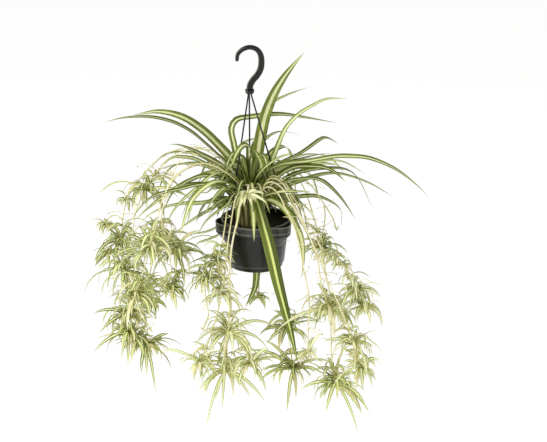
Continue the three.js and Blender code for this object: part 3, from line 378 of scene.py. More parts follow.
def crosswise(line, flat, turn):
    """Which way is across at each point of a line: a flat direction, turned about the line."""
    ahead = runs(line)
    flat = np.broadcast_to(flat, line.shape)
    side = flat - (flat * ahead).sum(axis=1)[:, None] * ahead
    side = side / np.linalg.norm(side, axis=1)[:, None]
    turn = np.broadcast_to(turn, len(line))[:, None]
    return side * np.cos(turn) + np.cross(ahead, side) * np.sin(turn)


def level(direction):
    """The level direction square to another one."""
    flat = np.array([direction[1], -direction[0], 0.0])
    return flat / np.linalg.norm(flat) if np.linalg.norm(flat) > UPRIGHT else np.array([1.0, 0, 0])


def around(azimuth, radius, height, middle=POT_X):
    """A point on a level circle round the pot's axis or another upright one."""
    angle = math.radians(azimuth)
    return np.array([middle + radius * math.cos(angle), radius * math.sin(angle), height])


for name, azimuth in SOCKETS.items():
    start = around(azimuth, LEG["ring"], LEG["top"], COLLAR_X)
    bend = around(azimuth, SOCKET_RING, RIM_TOP + LEG["above_rim"])
    foot = around(azimuth, SOCKET_RING, RIM_TOP - LEG["in_rim"])
    neck = start - [0, 0, LEG["neck"]]
    straight = (bend - neck) / np.linalg.norm(bend - neck)
    neck_in = neck + [0, 0, LEG["neck_bend"]]
    neck_out = neck + LEG["neck_bend"] * straight
    bend_in = bend - LEG["rim_bend"] * straight
    bend_out = bend - [0, 0, LEG["rim_bend"]]
    points = np.array([start, neck_in, 0.5 * neck + 0.25 * (neck_in + neck_out), neck_out,
                       0.5 * (neck + bend), bend_in, 0.6 * bend + 0.2 * (bend_in + foot), bend_out, foot])
    rod = {"points": points, "side": crosswise(points, level(foot - start), 0.0),
           "half": np.full(len(points), LEG["radius"]), "tone": 0.5}
    mesh = swept("hanger_rod", [rod], black_plastic, LEG_SECTION)
    own("leg_" + name, mesh, "hanger_leg_" + name)

# Pot: black injection-moulded plastic, a tapered wall with a foot ring, a rolled rim band with a ridge
# under it, and three round watering lips that stand out at the rim. Heights are from the rim.
BASE = -105
OUTSIDE = [
    (0, BASE), (56.2, BASE), (57, BASE + 0.8), (57.3, BASE + 3), (60.4, BASE + 10.5), (61, BASE + 12),
    (69, -21.6), (72, -21), (72.3, -20.4), (72.3, -16.4), (74.4, -16), (75, -15.2), (75, -1.2), (74.2, -0.2),
    (73.4, 0), (0, 0),
]
INSIDE = [(0, BASE + 2.5), (54.6, BASE + 2.5), (59.2, BASE + 11), (68.7, -16), (69, -15), (69, -1), (69.6, 1),
          (0, 1)]
BRIDGE = [(69, -5), (74.5, -5), (74.5, -0.6), (73.8, 0), (69.8, 0), (69, -0.6)]
LIP_AZIMUTHS = [200, 320, 80]
# Each level of a lip is how far out it sits, its radius and its height
LIP_LEVELS = [(62, 28, 0), (62, 27.8, -1), (62, 27, -22.5), (61.6, 25.6, -25), (61, 24, -27), (54, 14, -49)]
WALL = 1.8
POT_SIDES = 112
LIP_SIDES = 56
DRAIN = {"count": 6, "ring": 40, "radius": 4, "sides": 20}
SOCKET = {"radius": 2.1, "deep": 10, "sides": 16}
PAST = 5
POT_SHARP_EDGE = 32


def lip(azimuth, shrink):
    """The solid of one watering lip, or with a shrink its hollow."""
    turn = np.linspace(0, 2 * math.pi, LIP_SIDES, endpoint=False)
    circle = np.stack([np.cos(turn), np.sin(turn), 0 * turn], axis=1)
    rings = []
    for offset, radius, height in LIP_LEVELS:
        middle = around(azimuth, offset, RIM_TOP + height + (min(shrink, 1) if height == 0 else shrink))
        rings.append((middle + (radius - shrink) * circle) / 1000)
    return lofted("lip", rings, black_plastic)


def cut(base, tools, operation):
    """Joins or cuts a mesh with others, one after another, and returns the result."""
    holder = in_scene("work", base)
    helpers = [in_scene("tool", mesh) for mesh in tools]
    for helper in helpers:
        step = holder.modifiers.new("cut", "BOOLEAN")
        step.operation = operation
        step.solver = "MANIFOLD"
        step.object = helper
    made = evaluated("work", holder)
    for helper in helpers:
        bpy.data.objects.remove(helper)
    return made


def pot_form(name, profile, shrink):
    """A solid of the pot's own section with its three lips."""
    body = turned(name, [(radius, RIM_TOP + height) for radius, height in profile], (POT_X, 0), POT_SIDES,
                  black_plastic)
    return cut(body, [lip(azimuth, shrink) for azimuth in LIP_AZIMUTHS], "UNION")


def hole(size, azimuth, ring, low, high):
    """The solid of an upright round hole in the pot."""
    return turned("hole", [(size["radius"], low), (size["radius"], high)], around(azimuth, ring, 0)[:2],
                  size["sides"], black_plastic)


holes = [hole(DRAIN, 360 / DRAIN["count"] * k, DRAIN["ring"], RIM_TOP + BASE - PAST, RIM_TOP + BASE + PAST)
         for k in range(DRAIN["count"])]
holes += [hole(SOCKET, azimuth, SOCKET_RING, RIM_TOP - SOCKET["deep"], RIM_TOP + PAST)
          for azimuth in SOCKETS.values()]
shell = cut(pot_form("outside", OUTSIDE, 0), [pot_form("inside", INSIDE, WALL)], "DIFFERENCE")
hoop = bmesh.new()
loops = [[hoop.verts.new(((POT_X + radius * math.cos(angle)) / 1000, radius * math.sin(angle) / 1000,
                          (RIM_TOP + height) / 1000)) for radius, height in BRIDGE]
         for angle in np.linspace(0, 2 * math.pi, POT_SIDES, endpoint=False)]
for i, loop in enumerate(loops):
    after = loops[(i + 1) % POT_SIDES]
    for k in range(len(loop)):
        step = (k + 1) % len(loop)
        hoop.faces.new((loop[k], loop[step], after[step], after[k]))
bmesh.ops.recalc_face_normals(hoop, faces=hoop.faces)
bridge = bpy.data.meshes.new("bridge")
hoop.to_mesh(bridge)
hoop.free()
bridge.materials.append(black_plastic)
shell = cut(cut(shell, [bridge], "UNION"), holes, "DIFFERENCE")
shell.name = "pot_shell"
shell.materials.clear()
shell.materials.append(black_plastic)
shell.shade_smooth()
shell.set_sharp_from_angle(angle=math.radians(POT_SHARP_EDGE))
own("pot_shell", shell, "pot")

# Soil: dark peat compost, filled to 12 mm below the rim, with loose crumbs on top. The crumbs are
# scattered by rule over the open face, round the crown; their density is to the square metre.
SOIL_TOP = -389
SAME_POINT = 1e-6
CRUMBS = {"Density": 55000.0, "Smallest": 0.35, "Largest": 1.5, "Seed": 4}
CRUMB_RADIUS = 0.001
FLAT_ENOUGH = 0.9
FULL_TURN = 6.3

# Damp peat: matt and nearly black, with clods of 3 mm, fibres of a millimetre and paler bits of bark
compost, tree, surface, where = shader("damp_peat_compost")
clods = noise(tree, where, 320, 5, 0.7)
fibre = add(tree, "ShaderNodeTexVoronoi", {"Vector": where, "Scale": 900}).outputs["Distance"]
peat = mix(tree, ramp(tree, clods, 0.35, 0.7), "#0f0b08", "#2b2018")
peat = mix(tree, ramp(tree, clods, 0.68, 0.8, 0, 0.5), peat, "#5b4a35")
feed(tree, surface, {"Base Color": peat, "Roughness": 0.95,
                     "Normal": relief(tree, calc(tree, "ADD", clods, fibre), 0.6, 0.0006)})

scatter, given = geometry_tree("crumbs_on_soil", Soil="Geometry", Density="Float", Smallest="Float",
                               Largest="Float", Seed="Int", Material="Material")
upward, above = (add(scatter, "ShaderNodeSeparateXYZ", {0: add(scatter, kind).outputs[0]}).outputs[2]
                 for kind in ("GeometryNodeInputNormal", "GeometryNodeInputPosition"))
open_face = calc(scatter, "MULTIPLY", calc(scatter, "GREATER_THAN", upward, FLAT_ENOUGH),
                 calc(scatter, "GREATER_THAN", above, (SOIL_TOP - 1) / 1000))
spread = add(scatter, "GeometryNodeDistributePointsOnFaces", {
    "Mesh": given["Soil"], "Selection": open_face, "Density": given["Density"], "Seed": given["Seed"]})
size = add(scatter, "FunctionNodeRandomValue", {2: given["Smallest"], 3: given["Largest"], 8: given["Seed"]},
           data_type="FLOAT").outputs[1]
spin = add(scatter, "FunctionNodeRandomValue", {0: (0, 0, 0), 1: (FULL_TURN,) * 3, 8: given["Seed"]},
           data_type="FLOAT_VECTOR").outputs[0]
crumb = add(scatter, "GeometryNodeMeshIcoSphere", {"Radius": CRUMB_RADIUS, "Subdivisions": 1}).outputs[0]
placed = add(scatter, "GeometryNodeInstanceOnPoints", {
    "Points": spread.outputs[0], "Instance": crumb, "Rotation": spin, "Scale": size}).outputs[0]
both = add(scatter, "GeometryNodeJoinGeometry")
for part in (given["Soil"], placed):
    scatter.links.new(part, both.inputs[0])
close_tree(scatter, both.outputs[0], given["Material"])

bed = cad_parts["soil"].data.copy()
work = bmesh.new()
work.from_mesh(bed)
bmesh.ops.remove_doubles(work, verts=work.verts, dist=SAME_POINT)
work.to_mesh(bed)
work.free()
bed.materials.clear()
own("soil_bed", with_tree("soil_bed", bed, scatter, Material=compost, **CRUMBS), "soil")

# Mother plant: long strap leaves, folded in a shallow channel along the rib, that rise from one crown
# of pale sheaths and arch over the rim. Each row is a leaf's width, its turn about the rib in degrees,
# and the points of its rib as (right of the hook, below it in the view, away in depth).
VIEW_TILT = math.radians(20)
LEAVES = [
    (22, 55, (3, 265, 3), (16, 177, 20), (27, 132, 30), (45, 89, 42), (69, 51, 52), (107, 4, 60)),
    (11, 20, (8, 262, 18), (18, 165, 48), (35, 116, 66), (69, 95, 84), (117, 77, 98)),
    (14, 10, (-28, 262, 14), (-40, 200, 35), (-46, 164, 50), (-36, 147, 60), (-5, 141, 68), (55, 135, 76),
     (110, 142, 80), (178, 153, 82)),
    (14, 20, (10, 290, 2), (38, 239, 10), (55, 198, 10), (69, 167, 7), (97, 136, 2), (127, 117, -3),
     (154, 104, -8), (197, 102, -14)),
    (11, 0, (-22, 265, 22), (-32, 225, 36), (-20, 197, 44), (3, 188, 50), (27, 187, 54), (52, 191, 58)),
    (12, 0, (4, 262, 20), (12, 205, 36), (42, 177, 50), (63, 172, 60), (84, 175, 68), (106, 180, 76)),
    (20, -45, (14, 275, -10), (17, 245, -26), (8, 222, -40), (-4, 208, -50), (-19, 201, -58), (-32, 212, -68),
     (-50, 253, -78)),
    (13, -18, (-26, 275, -8), (-80, 219, -25), (-103, 198, -32), (-133, 173, -42), (-171, 153, -52),
     (-220, 142, -62), (-276, 144, -72), (-316, 153, -78)),
    (22, -25, (-25, 272, 6), (-50, 230, 15), (-69, 209, 22), (-109, 170, 36), (-152, 142, 50),
     (-201, 130, 64), (-255, 136, 76)),
    (15, -35, (-26, 296, -12), (-43, 273, -22), (-67, 247, -35), (-109, 222, -55), (-158, 201, -76),
     (-178, 200, -84)),
    (12, -15, (-26, 292, 10), (-70, 250, 34), (-116, 222, 56), (-158, 216, 74), (-182, 219, 84),
     (-201, 228, 92), (-223, 258, 102)),
    (13, -32, (-26, 302, -11), (-50, 275, -25), (-80, 253, -48), (-103, 241, -66), (-129, 230, -82),
     (-171, 228, -106), (-199, 247, -120)),
    (12, -14, (-24, 305, 18), (-60, 270, 42), (-99, 247, 68), (-148, 241, 98), (-197, 251, 126),
     (-215, 260, 136)),
    (16, -20, (-24, 296, 0), (-48, 273, 6), (-71, 262, 11), (-97, 262, 16), (-120, 271, 20), (-146, 282, 23),
     (-189, 309, 27), (-231, 341, 29), (-255, 362, 29)),
    (13, -8, (-20, 318, -34), (-44, 300, -62), (-78, 285, -84), (-114, 286, -99), (-154, 295, -114),
     (-199, 305, -128), (-226, 320, -136), (-251, 349, -143), (-259, 364, -145)),
    (13, -24, (-26, 322, 12), (-58, 316, 42), (-85, 320, 64), (-114, 325, 82), (-140, 325, 96),
     (-184, 332, 114), (-223, 349, 126), (-250, 375, 132)),
    (11, -10, (-26, 304, -8), (-62, 280, -22), (-103, 284, -34), (-135, 305, -42), (-169, 340, -49),
     (-189, 380, -52)),
    (15, -5, (-22, 312, -26), (-40, 292, -54), (-63, 280, -78), (-84, 281, -96), (-103, 292, -109),
     (-120, 307, -118), (-133, 326, -124), (-150, 375, -130), (-158, 403, -131)),
    (12, -24, (-28, 330, 4), (-52, 326, 14), (-78, 331, 26), (-103, 345, 36), (-148, 373, 52),
     (-180, 403, 60)),
    (11, 0, (-22, 330, -30), (-44, 322, -58), (-72, 340, -84), (-99, 362, -98), (-118, 390, -104)),
    (10, -28, (-26, 326, 22), (-42, 316, 48), (-60, 336, 70), (-78, 375, 84), (-103, 386, 94),
     (-129, 390, 102), (-152, 403, 108)),
    (10, -35, (-18, 322, 28), (-30, 308, 60), (-44, 335, 86), (-60, 382, 100), (-99, 403, 114),
     (-118, 409, 120), (-140, 443, 126)),
    (11, -35, (-8, 318, 32), (-14, 300, 64), (-22, 325, 92), (-30, 375, 108), (-63, 426, 120),
     (-96, 437, 128), (-125, 447, 133), (-152, 462, 137)),
    (14, 18, (16, 270, -26), (56, 244, -52), (116, 236, -74), (178, 226, -92), (212, 226, -100),
     (246, 230, -107), (301, 253, -118), (350, 290, -125), (371, 312, -127)),
    (15, 16, (20, 275, 10), (56, 241, 27), (88, 237, 42), (122, 239, 57), (158, 240, 72), (189, 244, 84)),
    (19, 28, (20, 300, -20), (56, 266, -44), (88, 249, -62), (122, 247, -80), (152, 250, -95),
     (174, 260, -104), (195, 279, -112)),
    (14, 12, (22, 308, 8), (50, 296, 26), (78, 286, 42), (129, 268, 66), (158, 262, 78), (189, 263, 88),
     (250, 283, 106), (299, 311, 118)),
    (14, 10, (18, 308, -26), (45, 290, -50), (69, 280, -70), (101, 274, -92), (127, 273, -107),
     (148, 279, -117), (186, 315, -131), (216, 358, -138)),
    (12, 24, (20, 322, 12), (45, 314, 36), (70, 311, 58), (93, 311, 76), (127, 309, 98), (152, 315, 110),
     (186, 339, 124), (186, 381, 130)),
    (12, 14, (10, 266, 18), (35, 250, 32), (63, 234, 45), (96, 220, 60), (116, 208, 69), (135, 194, 77),
     (152, 185, 83), (181, 197, 92)),
    (12, 40, (6, 275, -30), (30, 245, -58), (60, 226, -80), (91, 217, -96)),
    (11, 8, (16, 275, 26), (50, 250, 52), (80, 236, 74), (109, 228, 93), (137, 221, 110), (171, 217, 128)),
    (9, 16, (22, 284, -4), (60, 257, -2), (110, 243, -6), (150, 235, -12), (189, 236, -18), (238, 262, -24)),
    (14, 25, (14, 325, -30), (36, 318, -52), (64, 336, -70), (88, 368, -78), (101, 400, -81), (105, 430, -82),
     (105, 460, -82), (103, 481, -81)),
    (12, 35, (20, 325, 14), (44, 316, 30), (70, 328, 44), (101, 366, 58), (118, 400, 64), (134, 443, 68)),
    (11, 12, (18, 326, 2), (50, 312, 10), (75, 312, 16), (97, 322, 20), (120, 343, 24), (131, 366, 26)),
    (10, 32, (14, 316, -36), (46, 303, -68), (85, 300, -98), (122, 300, -120)),
    (11, 8, (14, 302, 22), (38, 286, 54), (67, 273, 84), (84, 266, 100), (103, 259, 116), (120, 264, 130)),
    (29, 42, (0, 300, -30), (5, 311, -48), (14, 340, -72), (23, 373, -88), (33, 409, -98), (42, 447, -106),
     (53, 496, -112), (65, 543, -116), (78, 592, -119), (95, 669, -122)),
    (15, 0, (6, 314, 30), (12, 296, 62), (16, 312, 90), (15, 350, 104), (11, 410, 108), (8, 455, 107),
     (3, 507, 104), (-18, 547, 100)),
]
DRAWN_LEAVES = [
    {"count": 8, "seed": 11, "az": (22, 158), "reach": (190, 300), "rise": (95, 125), "fall": (60, 160),
     "width": (12, 17)},
    {"count": 5, "seed": 47, "az": (180, 360), "reach": (75, 130), "rise": (62, 92), "fall": (20, 60),
     "width": (9, 13)},
]
DRAWN_ATTEMPTS = 10
DRAWN_ARCH = [(0.1, 0.55), (0.32, 0.95), (0.58, 1), (0.82, 0.8)]
DRAWN_TURN = 20
FILLING_LEAVES = [
    {"count": 36, "seed": 71, "reach": (50, 125), "rise": (58, 120), "fall": (6, 60), "width": (9, 14),
     "frontmost": -1},
    {"count": 20, "seed": 83, "reach": (120, 205), "rise": (70, 135), "fall": (30, 110), "width": (10, 16),
     "frontmost": -0.72},
    {"count": 20, "seed": 97, "reach": (30, 95), "rise": (110, 170), "fall": (10, 70), "width": (10, 15),
     "frontmost": -0.8},
    {"count": 24, "seed": 131, "reach": (88, 135), "rise": (36, 66), "fall": (24, 66), "width": (10, 15),
     "frontmost": -0.6},
]
CROWN = np.array([-7.0, -6.0, SOIL_TOP])
CROWN_PROFILE = [(0, -404), (13, -404), (20, -392), (22, -376), (22, -364), (20, -348), (16, -338), (8, -334),
                 (0, -333)]
CROWN_SIDES = 40
# Leaves follow each other round the crown by this share of a turn, and stray from it by up to a tenth
SPIRAL = 0.382
STRAY = 0.1
# A leaf's form along its rib: where it is widest, how slowly it widens, how late it narrows, its half
# width as a share of the width given, and the twist at its foot in degrees. Wider than BROAD it has the
# second form. By row, counted from 0, five have a form of their own: those that bend, lean, arch over,
# curl and hang behind.
STRAP = {"widest": 0.38, "slow": 1.0, "narrowing": 2.4, "half": 0.56, "twist": 0}
BROAD_STRAP = {"widest": 0.44, "slow": 1.5, "narrowing": 1.8, "half": 0.46, "twist": 0}
OWN_FORMS = {
    2: {"slow": 0.6, "twist": 62},
    3: {"widest": 0.4, "slow": 0.8, "twist": 48},
    6: {"widest": 0.3, "slow": 0.8, "twist": 85},
    29: {"widest": 0.86, "slow": 5.0},
    39: {"widest": 0.74, "slow": 1.5},
}
SHEATH_WIDTH = 0.28
LEAST_HALF = 0.12
SWAY = {"most": 0.16, "waves": 5, "more": 4, "apart": 9}
TWIST_FADE = 1.5
BROAD = 25
WIDE = 20
WIDE_TONE = 0.5
STRAP_STEPS = {"each": 9, "least": 14, "most": 40}
ROOT = {"low": 4, "rise": 34, "ring": 22, "outside": 0.95, "inwards": 0.8}
LEAF_SECTION = (10, 0.32, 0.075)
BROAD_SECTION = (14, 0.32, 0.075)
SHEATH_SECTION = (10, -0.35, 0.09)
SHEATHS = {"count": 26, "seed": 29, "width": (10, 15), "height": (44, 80), "lean": (14, 42), "taper": 0.85,
           "steps": 12}
# A sheath's line from the crown out: the ring, the share of the lean and the share of the height
SHEATH_LINE = ((21, 0, 0), (24, 0, 0.4), (23, 0.45, 0.75), (22, 1, 1))
CORNER_REACH = 2e-5
DRAWS = {"apart": 2654435761, "start": 12345, "factor": 1664525, "step": 1013904223, "range": 4294967296}


def place(across, drop, depth):
    """A place from how far it lies right of the hook, below it in the tilted view, and away in depth."""
    return np.array([across, depth, (-drop - depth * math.sin(VIEW_TILT)) / math.cos(VIEW_TILT)])


def outwards(azimuth, up=0):
    """A level unit step towards an azimuth, with a rise."""
    return np.array([math.cos(azimuth), math.sin(azimuth), up])


def spiralled(k, stray, draw):
    """The azimuth of a leaf in its turn round the spiral in which the plant grows them."""
    return 2 * math.pi * (k * SPIRAL + draw(0, stray))


def draws(seed):
    """Seeded draws, the same for the same seed."""
    state = (seed * DRAWS["apart"] + DRAWS["start"]) % DRAWS["range"]

    def draw(low, high):
        nonlocal state
        state = (state * DRAWS["factor"] + DRAWS["step"]) % DRAWS["range"]
        return low + (high - low) * state / DRAWS["range"]
    return draw


def finder(node):
    """Tells whether a point is a corner of one of the model's solids."""
    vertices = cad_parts[node].data.vertices
    corners = kdtree.KDTree(len(vertices))
    for k, vertex in enumerate(vertices):
        corners.insert(vertex.co, k)
    corners.balance()
    return lambda point: corners.find(Vector(point) / 1000)[2] < CORNER_REACH


def striped_leaf(name, deep, margin, stripe, cream, wash, base, painted_lit_half=0.0):
    """The look of a variegated leaf: green margins, a pale middle stripe with green streaks, lengthwise
    veins, a pale sheath and a dry tip. Across runs from -1 to 1 and along from 0 to 1."""
    material, tree, surface, where = shader(name)
    across, along, tone, face = (add(tree, "ShaderNodeAttribute", attribute_name=label).outputs["Fac"]
                                 for label in ("across", "along", "tone", "face"))
    # Streaks run the whole length, each in its own lane; the pale stripe is as wide as they let it
    lane = calc(tree, "MULTIPLY_ADD", tone, 90.0, calc(tree, "MULTIPLY", across, 2.2))
    streak = add(tree, "ShaderNodeTexNoise", {"W": lane, "Scale": 3.2, "Detail": 3.0, "Roughness": 0.6},
                 noise_dimensions="1D").outputs["Fac"]
    uneven = calc(tree, "SUBTRACT", streak, 0.5)
    edge = calc(tree, "MULTIPLY_ADD", calc(tree, "SUBTRACT", tone, 0.5), 0.36, stripe)
    edge = calc(tree, "MULTIPLY_ADD", uneven, 0.5, edge)
    pale = ramp(tree, calc(tree, "SUBTRACT", edge, calc(tree, "ABSOLUTE", across)), -0.09, 0.09)
    pale = calc(tree, "MULTIPLY", pale, ramp(tree, streak, 0.5, 0.6, 1.0, 0.72))
    # Green in soft patches of 26 mm, with fine veins and a paler underside
    cloud = calc(tree, "SUBTRACT", noise(tree, where, 38, 3), 0.5)
    green = mix(tree, ramp(tree, calc(tree, "MULTIPLY_ADD", cloud, 1.1, tone), 0.1, 0.95), deep, margin)
    green = mix(tree, ramp(tree, streak, 0.35, 0.7, 0, 0.35), green, wash)
    # Painted light: the half of the leaf towards negative across is painted paler by the given share, as if
    # light fell on that folded half
    green = mix(tree, ramp(tree, across, 0.1, -0.7, 0, painted_lit_half), green, wash)
    fine = add(tree, "ShaderNodeTexWave", {
        "Vector": add(tree, "ShaderNodeCombineXYZ", {0: across}).outputs[0], "Scale": 2.6},
        bands_direction="X").outputs["Fac"]
    colour = mix(tree, pale, green, cream)
    colour = mix(tree, calc(tree, "MULTIPLY", fine, 0.12), colour, deep)
    colour = mix(tree, ramp(tree, face, 0.15, -0.15, 0, 0.22), colour, wash)
    colour = mix(tree, ramp(tree, along, 0.16, 0.0, 0, 0.85), colour, base)
    dry = ramp(tree, calc(tree, "MULTIPLY_ADD", tone, 0.02, along), 0.985, 1.0, 0, 0.9)
    feed(tree, surface, {
        "Base Color": mix(tree, dry, colour, "#7c6138"), "Roughness": ramp(tree, streak, 0.2, 0.8, 0.36, 0.5),
        "Specular IOR Level": 0.28, "Subsurface Weight": 0.25, "Subsurface Radius": (0.6, 1.0, 0.25),
        "Subsurface Scale": 0.002, "Normal": relief(tree, calc(tree, "ADD", fine, streak), 0.35, 0.0002)})
    return material


# Living leaves are satin and let a little light through. The oldest in front is darker, and the sheaths
# have dried to olive and straw.
leaf = striped_leaf("variegated_leaf", "#42510f", "#8a9a3a", 0.34, "#f4f5bc", "#b2be5c", "#b9b878")
# The oldest leaf has one folded half painted paler, a painted highlight on that half
front_leaf = striped_leaf("oldest_leaf", "#38440e", "#687726", 0.37, "#e4ec8c", "#98a648", "#6f7a34", 0.4)
sheath_skin = striped_leaf("leaf_sheath", "#453f18", "#858040", 0.42, "#dcd8a0", "#aaa566", "#7a6b3e")
# Crown: the dry papery feet of old sheaths, matt, with ribs 4 mm apart that are drawn out upright
crown_skin, tree, surface, where = shader("leaf_sheath_crown")
upright = add(tree, "ShaderNodeMapping", {"Vector": where, "Scale": (1, 1, 0.12)}).outputs[0]
ribs = noise(tree, upright, 260, 4)
feed(tree, surface, {"Base Color": mix(tree, ramp(tree, ribs, 0.35, 0.65), "#4d4622", "#a9a868"),
                     "Roughness": 0.7, "Normal": relief(tree, ribs, 0.7, 0.0008)})


def rooted(points):
    """A leaf's points from the crown on: from low on its side if it leans out, from high if not."""
    lean = points[1] - CROWN
    steep = math.atan2(lean[2], math.hypot(lean[0], lean[1])) / (math.pi / 2)
    out = points[0] * [1, 1, 0] - CROWN * [1, 1, 0]
    out = out / np.linalg.norm(out)
    foot = CROWN + out * ROOT["ring"] * (ROOT["outside"] - ROOT["inwards"] * steep)
    return [foot + np.array([0, 0, ROOT["low"] + ROOT["rise"] * steep]), *points]


def strap(points, width, turn, tone, **own_form):
    """A leaf's line with its half width, from a narrow sheath through its widest part to its point."""
    form = {**(BROAD_STRAP if width > BROAD else STRAP), **own_form}
    points = rooted(points)
    length = np.linalg.norm(np.diff(points, axis=0), axis=1).sum()
    steps = np.clip(length / STRAP_STEPS["each"], STRAP_STEPS["least"], STRAP_STEPS["most"])
    line = smooth_line(points, int(steps))
    t = np.linspace(0, 1, len(line))
    widening = np.sin(np.minimum(t / form["widest"], 1) * math.pi / 2) ** form["slow"]
    narrowing = np.maximum(0, (t - form["widest"]) / (1 - form["widest"])) ** form["narrowing"]
    share = (SHEATH_WIDTH + (1 - SHEATH_WIDTH) * widening) * (1 - narrowing)
    waves = t * (SWAY["waves"] + SWAY["more"] * tone) + SWAY["apart"] * tone
    sway = SWAY["most"] * np.sin(waves) * t
    turns = np.radians(turn + form["twist"] * (1 - t) ** TWIST_FADE) + sway
    return {"points": line, "side": -crosswise(line, level(line[-1] - line[0]), turns), "tone": tone,
            "half": np.maximum(form["half"] * width * share, LEAST_HALF)}


def arched(rule, azimuth, draw):
    """A leaf drawn by rule, rising from the crown and falling again: its points, width and turn."""
    out = outwards(azimuth)
    reach, rise, fall = (draw(*rule[label]) for label in ("reach", "rise", "fall"))
    points = [CROWN + out * along * reach + np.array([0, 0, up * rise]) for along, up in DRAWN_ARCH]
    points.append(CROWN + out * reach + np.array([0, 0, rise - fall]))
    return points, draw(*rule["width"]), draw(-DRAWN_TURN, DRAWN_TURN)


tones = draws(5)
straps = []
for k, (width, turn, *rib) in enumerate(LEAVES):
    tone = tones(0, 1)
    tone = WIDE_TONE if WIDE < width <= BROAD else tone
    straps.append(strap([place(*p) for p in rib], width, turn, tone, **OWN_FORMS.get(k, {})))
is_corner = finder("mother_plant")
for rule in DRAWN_LEAVES:
    for k in range(rule["count"]):
        for attempt in range(DRAWN_ATTEMPTS):
            draw = draws(rule["seed"] * 1000 + k * 10 + attempt)
            share = (k + draw(0.1, 0.9)) / rule["count"]
            azimuth = math.radians(rule["az"][0] + (rule["az"][1] - rule["az"][0]) * share)
            drawn = arched(rule, azimuth, draw)
            if is_corner(drawn[0][-1]):
                straps.append(strap(*drawn, tones(0, 1)))
                break
for rule in FILLING_LEAVES:
    for k in range(rule["count"]):
        draw = draws(rule["seed"] * 1000 + k)
        azimuth = spiralled(k, STRAY, draw)
        drawn = arched(rule, azimuth, draw)
        if math.sin(azimuth) > rule["frontmost"]:
            straps.append(strap(*drawn, tones(0, 1)))
broadest = max(straps, key=lambda line: line["half"].max())
others = [line for line in straps if line is not broadest]
sheaths = []
for k in range(SHEATHS["count"]):
    draw = draws(SHEATHS["seed"] * 1000 + k)
    azimuth = spiralled(k, STRAY, draw)
    out = outwards(azimuth)
    height = draw(*SHEATHS["height"])
    lean = draw(*SHEATHS["lean"])
    points = smooth_line([CROWN + (ring + leaning * lean) * out + [0, 0, risen * height]
                          for ring, leaning, risen in SHEATH_LINE], SHEATHS["steps"])
    t = np.linspace(0, 1, len(points))
    sheaths.append({"points": points, "side": -crosswise(points, level(out), 0.0), "tone": draw(0, 1),
                    "half": 0.5 * draw(*SHEATHS["width"]) * (1 - SHEATHS["taper"] * t ** 3)})
meshes = [swept("straps", others, leaf, LEAF_SECTION),
          swept("broad_strap", [broadest], front_leaf, BROAD_SECTION),
          swept("sheaths", sheaths, sheath_skin, SHEATH_SECTION),
          turned("crown", CROWN_PROFILE, CROWN[:2], CROWN_SIDES, crown_skin)]
own("mother_leaves", joined("mother_leaves", meshes), "mother_plant")

# Runners: thin straw-coloured flower stems that arch out of the crown and hang past the rim, with
# papery bracts at their joints and the dry stalks and seed capsules of spent flowers. They thicken a
# little at each joint, and the oldest, in front, is the stoutest.
STEM = {"root": 1.3, "tip": 1.4, "oldest": "front_main", "stouter": 1.45, "ring": 14, "start": -344,
        "step": 7, "least_steps": 4}
# Joints are counted in steps of a stem's line, and a stalk bends by an azimuth in radians
JOINT = {"each": 9, "thicker": 0.22, "spread": 0.004, "first": 6, "later": (0, 4), "clear": 3}
BRACT = {"each": 3, "reach": (8, 15), "rise": (-0.6, 0.5), "width": (2.0, 3.2), "share": 0.6, "lift": 0.1,
         "turn": 1, "steps": 5}
STALK = {"each": 2, "reach": (16, 34), "share": 0.6, "rise": (-0.2, 0.8), "fall": (-0.9, 0.1), "bend": 0.7,
         "half": 0.55, "steps": 7, "with_pod": 0.3}
TUFT = {"blades": 3, "reach": (11, 17), "rise": (-6, 12), "lift": 0.25, "width": (2.4, 3.2), "turn": 0.5}
POD_RADIUS = 0.0014
SMALL_FORM = {"foot": 0.4, "widest": 0.3, "narrows": 0.4, "narrowing": 2.2, "half": 0.52, "least": 0.07,
              "steps": 10, "sway": 0.25}
ATTEMPTS = 14
STEM_SECTION = (8, 0.0, 1.0)
STALK_SECTION = (5, 0.0, 1.0)
BRACT_SECTION = (6, 0.3, 0.1)
